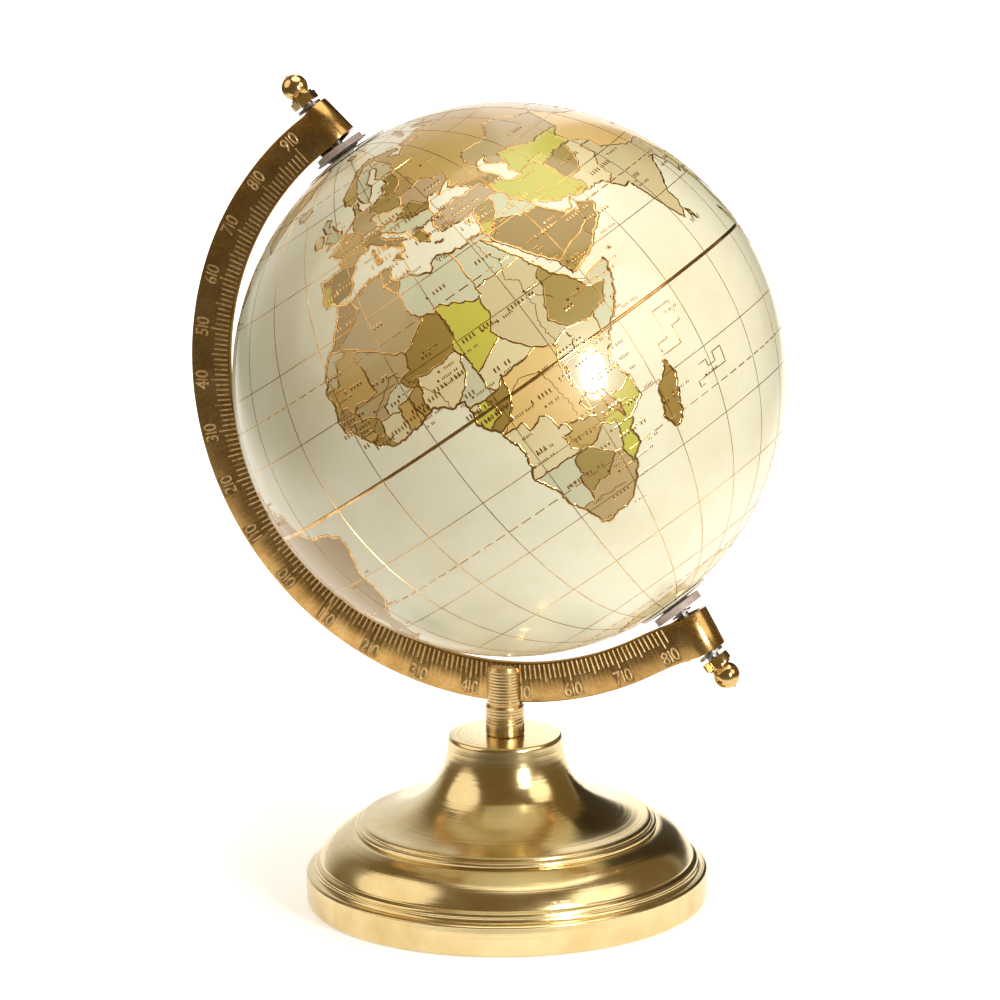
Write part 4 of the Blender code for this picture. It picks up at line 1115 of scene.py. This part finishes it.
def on_ball(lonlat):
    """Unit vectors from the ball's centre to places given as (longitude, latitude) in degrees."""
    lon, lat = np.radians(np.asarray(lonlat, float)).T
    a = lon - FACING
    return (np.cos(lat)[:, None] * (np.cos(a)[:, None] * MAP_X + np.sin(a)[:, None] * MAP_E)
            + np.sin(lat)[:, None] * MAP_N)


print("map pole is", round(math.degrees(math.acos(MAP_N @ POLE)), 1), "degrees off the axle")

# %% [markdown]
# The print is on paper under gloss varnish. The paper's own colour comes from the mesh, one colour for
# each country. A slow noise yellows it unevenly and a fine one gives it a faint print grain, and the
# varnish is a clear coat over a satin surface.

# %% Varnished map paper
def map_paper():
    """Printed paper under varnish. Its colour is the mesh's own, times a slow yellowing."""
    made, tree, shader = finish("varnished map paper", "#e4e4d0", 0.34, Coat_Weight=0.5, Coat_Roughness=0.08)
    ink = node(tree, "ShaderNodeVertexColor", {"layer_name": "map_colour"})
    place = node(tree, "ShaderNodeTexCoord").outputs["Object"]
    age = noise(tree, place, 28.0, 5.0, 0.6)
    tint = ramp(tree, age, [(0.30, "#f3efe0"), (0.50, "#fdfcf7"), (0.70, "#f4faf4")])
    tree.links.new(multiply_colours(tree, ink.outputs["Color"], tint), shader.inputs["Base Color"])
    relief(tree, shader, noise(tree, place, 1500.0, 2.0), 0.25, 0.000008)
    return made


def gold_foil(name, colours, roughness):
    """Hot-stamped copper-gold foil: a near mirror whose colour follows one noise."""
    made, tree, shader = finish(name, colours[1], roughness, 1.0)
    place = node(tree, "ShaderNodeTexCoord").outputs["Object"]
    wear = noise(tree, place, 260.0, 5.0, 0.7)
    tree.links.new(ramp(tree, wear, [(0.35, colours[0]), (0.65, colours[1])]),
                   shader.inputs["Base Color"])
    return made


MAP_PAPER = map_paper()
FOIL = gold_foil("copper gold foil", ("#b88a4a", "#e6c084"), 0.17)
print("map finishes:", MAP_PAPER.name, FOIL.name)

# %% [markdown]
# Each half of the ball is a closed shell: the printed skin outside, the same skin 1.2 mm further in, and
# walls along its two edges, the equator and a small ring round the map's pole. Bush and hour disc cover
# that ring.

# %% Half shells with the print
def half_shell(name, keep):
    """Triangles where keep is true, on spheres of 63.9 and 62.7 mm, joined by a wall along the border."""
    own = tris[keep]
    used, index = np.unique(own, return_inverse=True)
    own = index.reshape(-1, 3)
    place = flat_map[used].copy()
    # One column for both ends of the sheet closes the seam at 180 degrees.
    place[:, 0] = np.where(place[:, 0] > 179.999, -180.0, place[:, 0])
    _, first, same = np.unique(np.round(place, 4), axis=0, return_index=True, return_inverse=True)
    own, place = same.reshape(-1)[own], place[first]
    keep_own = (own[:, 0] != own[:, 1]) & (own[:, 1] != own[:, 2]) & (own[:, 2] != own[:, 0])
    shade = shade_index[keep][keep_own]
    own = own[keep_own]
    rays = on_ball(place)
    n = len(rays)
    a, b, c = (rays[own[:, k]] for k in range(3))
    spin = np.einsum("ij,ij->i", np.cross(b - a, c - a), a)
    own = np.where((spin < 0)[:, None], own[:, ::-1], own)
    sides = np.concatenate([own[:, [0, 1]], own[:, [1, 2]], own[:, [2, 0]]])
    codes = sides[:, 0] * n + sides[:, 1]
    rim = sides[~np.isin(codes, sides[:, 1] * n + sides[:, 0])]
    wall = np.stack([rim[:, 1], rim[:, 0], rim[:, 0] + n, rim[:, 1] + n], 1)
    points = np.vstack([BALL_CENTRE + rays * BALL_R, BALL_CENTRE + rays * (BALL_R - 1.2)])
    obj = add_mesh(name, points, own.tolist() + (own[:, ::-1] + n).tolist() + wall.tolist(), MAP_PAPER)
    mesh = obj.data
    palette = np.array([linear(PAPER[k]) for k in names])
    per_face = np.vstack([palette[shade], np.tile(palette[names.index("sand")], (len(own) + len(wall), 1))])
    corners = np.repeat(np.arange(len(per_face)), [3] * (2 * len(own)) + [4] * len(wall))
    layer = mesh.color_attributes.new("map_colour", "FLOAT_COLOR", "CORNER")
    layer.data.foreach_set("color", per_face[corners].astype(np.float32).ravel())
    mesh.normals_split_custom_set_from_vertices(np.vstack([rays, -rays]).tolist())
    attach(obj, "globe")
    return obj


middle_lat = flat_map[tris][:, :, 1].mean(1)
for side, keep in (("north", middle_lat > 0), ("south", middle_lat < 0)):
    shell = half_shell(side + "_map_shell", keep)
    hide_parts(side + "_hemisphere")
    print(side, "shell:", len(shell.data.polygons), "faces")

# %% [markdown]
# Foil lines stand 0.04 mm proud, as stamped foil does under varnish. Each is a low flat-topped section
# carried along the line: with U the direction from the ball's centre and S across the line, a point is
# centre + (R + h) U + s S.

# %% Foil lines
def foil_mesh(name, groups):
    """groups is a list of (paths, width in mm). All the paths become one object."""
    points, faces, count = [], [], 0
    for paths, width in groups:
        s = np.array([-0.5, -0.36, 0.36, 0.5]) * width
        h = np.array([-0.03, 0.04, 0.04, -0.03])
        for path in paths:
            u = on_ball(path)
            t = np.gradient(u, axis=0)
            across = np.cross(u, t)
            across /= np.linalg.norm(across, axis=1)[:, None] + 1e-12
            grid = BALL_CENTRE + (BALL_R + h)[None, :, None] * u[:, None] + s[None, :, None] * across[:, None]
            n = len(u)
            points.append(grid.reshape(-1, 3))
            faces += grid_faces(n, 4, first=count).tolist()
            faces += [list(range(count, count + 4)), list(range(count + 4 * n - 4, count + 4 * n))[::-1]]
            count += 4 * n
    obj = outward(add_mesh(name, np.vstack(points), faces, FOIL, sharp=60))
    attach(obj, "globe")
    return obj


def dashed(lat, on, off):
    """Short paths along a parallel, each this many degrees long with this gap between them."""
    starts = np.arange(-180, 180, on + off)
    return [np.stack([np.linspace(s, s + on, 3), np.full(3, float(lat))], 1) for s in starts]


meridians = [np.stack([np.full(89, float(x)), np.linspace(-84, 84, 89)], 1) for x in range(-180, 180, 15)]
parallels = [np.stack([np.linspace(-180, 180, 181), np.full(181, float(y))], 1)
             for y in range(-75, 76, 15) if y]
equator = [np.stack([np.linspace(-180, 180, 241), np.zeros(241)], 1)]
tropics = dashed(23.44, 2.4, 1.2) + dashed(-23.44, 2.4, 1.2) + dashed(66.6, 4, 2) + dashed(-66.6, 4, 2)
RIVERS = lines_of("""
31 31, 31 27, 32.8 24, 31 20, 33.5 18, 32.5 15.5, 32.5 12, 31 9, 31.5 5, 31.3 2.2
32.5 15.5, 34.5 13, 37 11.5
-10 9.5, -7.5 12.5, -4 14.5, -1 17, 1.5 14.8, 4 11.8, 6.5 8, 6.5 4.5
27 -11, 26.5 -5, 25.2 0.5, 21 2, 17.8 0, 16 -3.5, 12.5 -6
23 -13, 24 -17, 27 -17.8, 30 -15.6, 33 -16.5, 36 -18.5
28 -29, 24.5 -29, 20 -28.5
""")
BOXES = lines_of("""
52.5 -3, 57.5 -3, 57.5 -7.5, 55 -7.5, 55 -11.5, 49.8 -11.5, 49.8 -9, 52.5 -9, 52.5 -3
56.5 -17.5, 59 -17.5, 59 -19, 61.5 -19, 61.5 -17, 64.5 -17, 64.5 -20.5, 55 -20.5, 55 -21.8, 56.5 -21.8
""")
rivers = [wander(densify(line, 0.8), 0.2) for line in RIVERS]
boxes = [densify(line, 1.0) for line in BOXES]
foil = foil_mesh("foil_lines", [(coast_lines, 0.64), (border_lines, 0.48), (rivers, 0.2), (boxes, 0.3)])
grid = foil_mesh("foil_grid", [(meridians + parallels, 0.2), (equator, 0.85), (tropics, 0.3)])
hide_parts("north_hemisphere", "south_hemisphere")
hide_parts("north_hemisphere", "south_hemisphere")
print("foil:", len(foil.data.polygons), "and", len(grid.data.polygons), "faces")

# %% [markdown]
# A foil dot about 0.7 mm across marks each large town.

# %% Town dots
TOWNS = lines_of("""
3 36.7, -7.6 33.6, 13.2 32.8, 20 32, 31.2 30, 29.9 31.2, 32.9 24, 32.5 15.6, 37.2 19.6, 24.4 13.6,
38.8 9, 42 9.6, 45.3 2.1, 36.8 -1.3
39.6 -4, 39.2 -6.8, 32.6 0.3, 15.3 -4.3, 25.2 0.5, 22.4 -5.9, 27.5 -11.7, 13.3 -8.8, 13.5 -14.9,
17.1 -22.5, 18.4 -33.8, 28 -26.2, 30.9 -29.8, 25.9 -24.7
32.5 -25.9, 31 -17.8, 28.3 -15.4, 34.8 -19.8, 33.8 -14, 40.6 -14.5, 47.5 -18.9, 11.5 3.9, 9.5 0.4,
15 12.1, 20.8 13.8, 8.5 12, 7.4 10.5, 7.5 9.1
2.1 13.5, 8 17, -8 12.6, -3 16.8, -1.5 12.4, -0.2 5.6, -4 5.4, -10.8 6.3, -13.7 9.5, -17.1 14.7,
-15.9 18.1, 18.6 4.4, -3.7 40.4, -9.1 38.7
2.3 48.8, 12.5 41.9, 13.4 52.5, 23.7 38, 29 41.2, 32.9 39.9, 35.5 33.9, 44.4 33.3, 51.4 35.7, 46.7 24.7,
39.2 21.5, 44.2 15.4, 58.4 23.5, 37.6 55.7
77.2 28.6, 72.9 19, 88.3 22.6, 116.4 39.9, 121.4 31.2, 139.7 35.7, 106.8 -6.3, 151 -33.8, 145 -37.8,
115.9 -31.9, -74 40.8, -99.1 19.4, -43.3 -22.8, -47.9 -15.8
-58.5 -34.5, -70.7 -33.4, -77 -12, -74 4.6, -79.5 43.6, -118 34, -95.4 29.8, 55.5 -4.6, 57.5 -20.3
""")
towns = np.vstack(TOWNS)
u = on_ball(towns)
side_a = np.cross(u, MAP_N)
side_a /= np.linalg.norm(side_a, axis=1)[:, None]
side_b = np.cross(u, side_a)
turn = np.radians(np.arange(0, 360, 36))
disc = 0.34 * (np.cos(turn)[None, :, None] * side_a[:, None] + np.sin(turn)[None, :, None] * side_b[:, None])
low_ring = BALL_CENTRE + (BALL_R - 0.03) * u[:, None] + disc
high_ring = BALL_CENTRE + (BALL_R + 0.045) * u[:, None] + disc * 0.85
dots = np.concatenate([low_ring, high_ring], 1).reshape(-1, 3)
k = np.arange(10)
wall = np.stack([k, (k + 1) % 10, (k + 1) % 10 + 10, k + 10], 1)
faces = [[20 * i + int(j) for j in face] for i in range(len(towns))
         for face in list(wall) + [k[::-1], k + 10]]
town_dots = outward(add_mesh("town_dots", dots, faces, FOIL, sharp=40))
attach(town_dots, "globe")
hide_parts("north_hemisphere", "south_hemisphere")
print("towns:", len(towns))

# %% [markdown]
# No name is spelled out. A row of short strokes stands for each one: 0.7 mm tall beside the towns and at
# every fifth point of the longer coasts, and 1.15 mm tall on the lands.

# %% Rows of strokes in place of names
def name_rows(spots, dash, pitch):
    """Paths along each spot's parallel. Stroke k starts at lon + (0.9 + k pitch) / cos(lat), and every
    sixth or so is skipped, as a gap between words. The rows are 4 to 9 strokes long."""
    k = np.arange(9)
    row = np.arange(len(spots))[:, None]
    shown = (k < 4 + (7 * row) % 6) & ((k + row) % 6 != 3)
    stretch = 1 / np.cos(np.radians(spots[:, 1:]))
    start = (spots[:, :1] + (0.9 + pitch * k) * stretch)[shown]
    end = start + dash * np.broadcast_to(stretch, shown.shape)[shown]
    lat = np.broadcast_to(spots[:, 1:], shown.shape)[shown]
    return list(np.stack([np.stack([start, lat], 1), np.stack([end, lat], 1)], 1))


harbours = np.vstack([line[::5] for line in coasts if len(line) > 12])
small = name_rows(towns, 0.2, 0.5) + name_rows(harbours + [1.0, -0.6], 0.2, 0.5)
lands = seed_places[np.abs(seed_places[:, 1]) < 50]
large = name_rows(lands - [3.4, 0.7], 0.3, 0.85)
strokes_mesh = foil_mesh("name_strokes", [(small, 0.7), (large, 1.15)])
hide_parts("north_hemisphere", "south_hemisphere")
print("name strokes:", len(small), "small,", len(large), "large")

# %% [markdown]
# ## Light, floor and camera
# The key is a small soft box low on the right, which draws the bright streak on the neck and the spot
# on the ball. Three large ones fill in from the left, the top and the right. The room is brown all round
# except for a pale stretch straight behind the object, and polished metal mirrors the brown as its dark
# bands.

# %% Room
world = bpy.data.worlds.new("studio")
bpy.context.scene.world = world
world.use_nodes = True
tree = world.node_tree
look = node(tree, "ShaderNodeTexCoord").outputs["Generated"]
toward = node(tree, "ShaderNodeVectorMath", {"operation": "DOT_PRODUCT", 1: (0.334, -0.9425, 0.0)}, i0=look)
behind = node(tree, "ShaderNodeMapRange",
              {"interpolation_type": "SMOOTHSTEP", 1: -0.95, 2: -0.6, 3: 1.0, 4: 0.0},
              i0=toward.outputs["Value"])
tree.links.new(ramp(tree, behind.outputs[0], [(0.0, "#7a6745"), (1.0, "#fbf9f4")]),
               tree.nodes["Background"].inputs["Color"])


def soft_box(name, spot, size, power, aim=(0, 0, 0.1), colour="#fff8ec"):
    """A round or oval area light that faces the point aim. spot and size are in metres, power in watts."""
    lamp = bpy.data.lights.new(name, "AREA")
    lamp.shape, lamp.size, lamp.size_y, lamp.energy = "ELLIPSE", size[0], size[1], power
    lamp.color = linear(colour)[:3]
    obj = bpy.data.objects.new(name, lamp)
    bpy.context.scene.collection.objects.link(obj)
    obj.location = spot
    obj.rotation_euler = (Vector(aim) - Vector(spot)).to_track_quat("-Z", "Y").to_euler()
    return obj


soft_box("key, right", (1.05, -0.75, 0.42), (0.26, 0.46), 13)
soft_box("fill, left", (-1.2, -0.6, 0.9), (1.6, 1.6), 7.5)
soft_box("top", (0.1, 0.1, 1.3), (1.2, 1.2), 8.5)
soft_box("fill, right", (1.2, -0.1, 0.8), (0.9, 0.9), 3.5)
print("soft boxes: 4")

# %% Floor and camera
def floor_sheet():
    """A 2.6 m wide sheet: flat floor, a quarter circle of 0.6 m and a wall 3.2 m back, as one profile
    carried along x. It lies 0.1 mm below the felt."""
    t = np.radians(np.linspace(0, 90, 16))
    y = np.concatenate([[-1.5, 0.0], 2.6 + 0.6 * np.sin(t), [3.2]])
    z = np.concatenate([[0.0, 0.0], 0.6 - 0.6 * np.cos(t), [5.6]]) - 0.0001
    x = np.array([-1.3, 1.3])
    co = np.stack([np.repeat(x, len(y)), np.tile(y, 2), np.tile(z, 2)], 1) * 1000
    return co, grid_faces(2, len(y), wrap_columns=False)


# The sheet glows by itself under and behind the object, a painted glow with no lamp behind it. The glow and
# the white both fade out 0.15 m in front and 0.34 m to the sides, and the metal mirrors that darker table, a
# painted shade of dark grey.
painted_glow_sweep, tree, shader = finish("white sweep with painted glow and painted dark surround", "#fdfdfc", 0.9,
                               Emission_Color=(1, 1, 1, 1))
place = node(tree, "ShaderNodeTexCoord").outputs["Object"]
depth = node(tree, "ShaderNodeVectorMath", {"operation": "DOT_PRODUCT", 1: (-0.334, 0.9425, 0.0)}, i0=place)
side = node(tree, "ShaderNodeVectorMath", {"operation": "DOT_PRODUCT", 1: (0.9425, 0.334, 0.0)}, i0=place)
side = node(tree, "ShaderNodeMath", {"operation": "ABSOLUTE"}, i0=side.outputs["Value"]).outputs[0]
spread = value_math(tree, "MULTIPLY_ADD", depth.outputs["Value"], -0.09, side)
near = node(tree, "ShaderNodeMapRange", {1: -0.15, 2: -0.078, 3: 0.0, 4: 1.0}, i0=depth.outputs["Value"])
inside = node(tree, "ShaderNodeMapRange", {1: 0.20, 2: 0.34, 3: 1.0, 4: 0.0}, i0=spread)
share = value_math(tree, "MULTIPLY", near.outputs[0], inside.outputs[0])
far = node(tree, "ShaderNodeMapRange", {1: 0.2, 2: 0.8, 3: 0.42, 4: 1.2}, i0=depth.outputs["Value"])
# Painted glow: the emission is strongest under and behind the object and fades out towards the front.
tree.links.new(value_math(tree, "MULTIPLY", share, far.outputs[0]), shader.inputs["Emission Strength"])
# Painted shade: the sheet turns dark grey where the painted glow fades, in front of and beside the object.
tree.links.new(ramp(tree, share, [(0.0, "#6a6863"), (1.0, "#fdfdfc")]), shader.inputs["Base Color"])
co, faces = floor_sheet()
floor = add_mesh("floor", co, faces[:, ::-1], painted_glow_sweep)
floor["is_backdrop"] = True

camera = bpy.data.cameras.new("camera")
camera.lens, camera.sensor_width = 280.8, 36.0
camera.shift_x, camera.shift_y = -0.00245, -0.01707
camera.clip_end = 20
eye = bpy.data.objects.new("camera", camera)
bpy.context.scene.collection.objects.link(eye)
azimuth, elevation, roll = math.radians(19.52), math.radians(14.55), math.radians(-0.62)
out = Vector((math.sin(azimuth) * math.cos(elevation), -math.cos(azimuth) * math.cos(elevation),
              math.sin(elevation)))
right = Vector((math.cos(azimuth), math.sin(azimuth), 0))
up = out.cross(right)
right, up = right * math.cos(roll) + up * math.sin(roll), up * math.cos(roll) - right * math.sin(roll)
eye.matrix_world = Matrix((
    (right.x, up.x, out.x, out.x * 1.8), (right.y, up.y, out.y, out.y * 1.8),
    (right.z, up.z, out.z, out.z * 1.8 + 0.1), (0, 0, 0, 1)))
bpy.context.scene.camera = eye
bpy.context.scene.view_settings.view_transform = "Standard"
print("camera 1.8 m away, lens", camera.lens)

# %% Hidden parts keep their own solids
hidden = {"post_washer": STEEL, "post_nut": STEEL, "arc_set_screw": STEEL, "axle_rod": STEEL,
          "north_spacer": STEEL, "south_spacer": STEEL, "equator_ring": CARD}
for name, paint in hidden.items():
    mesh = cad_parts[name].data
    mesh.materials.clear()
    mesh.materials.append(paint)
print("finishes on", len(hidden), "hidden parts")

# %% Measure
low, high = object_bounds()
print("visual box, mm:", [round((b - a) * 1000, 1) for a, b in zip(low, high)])
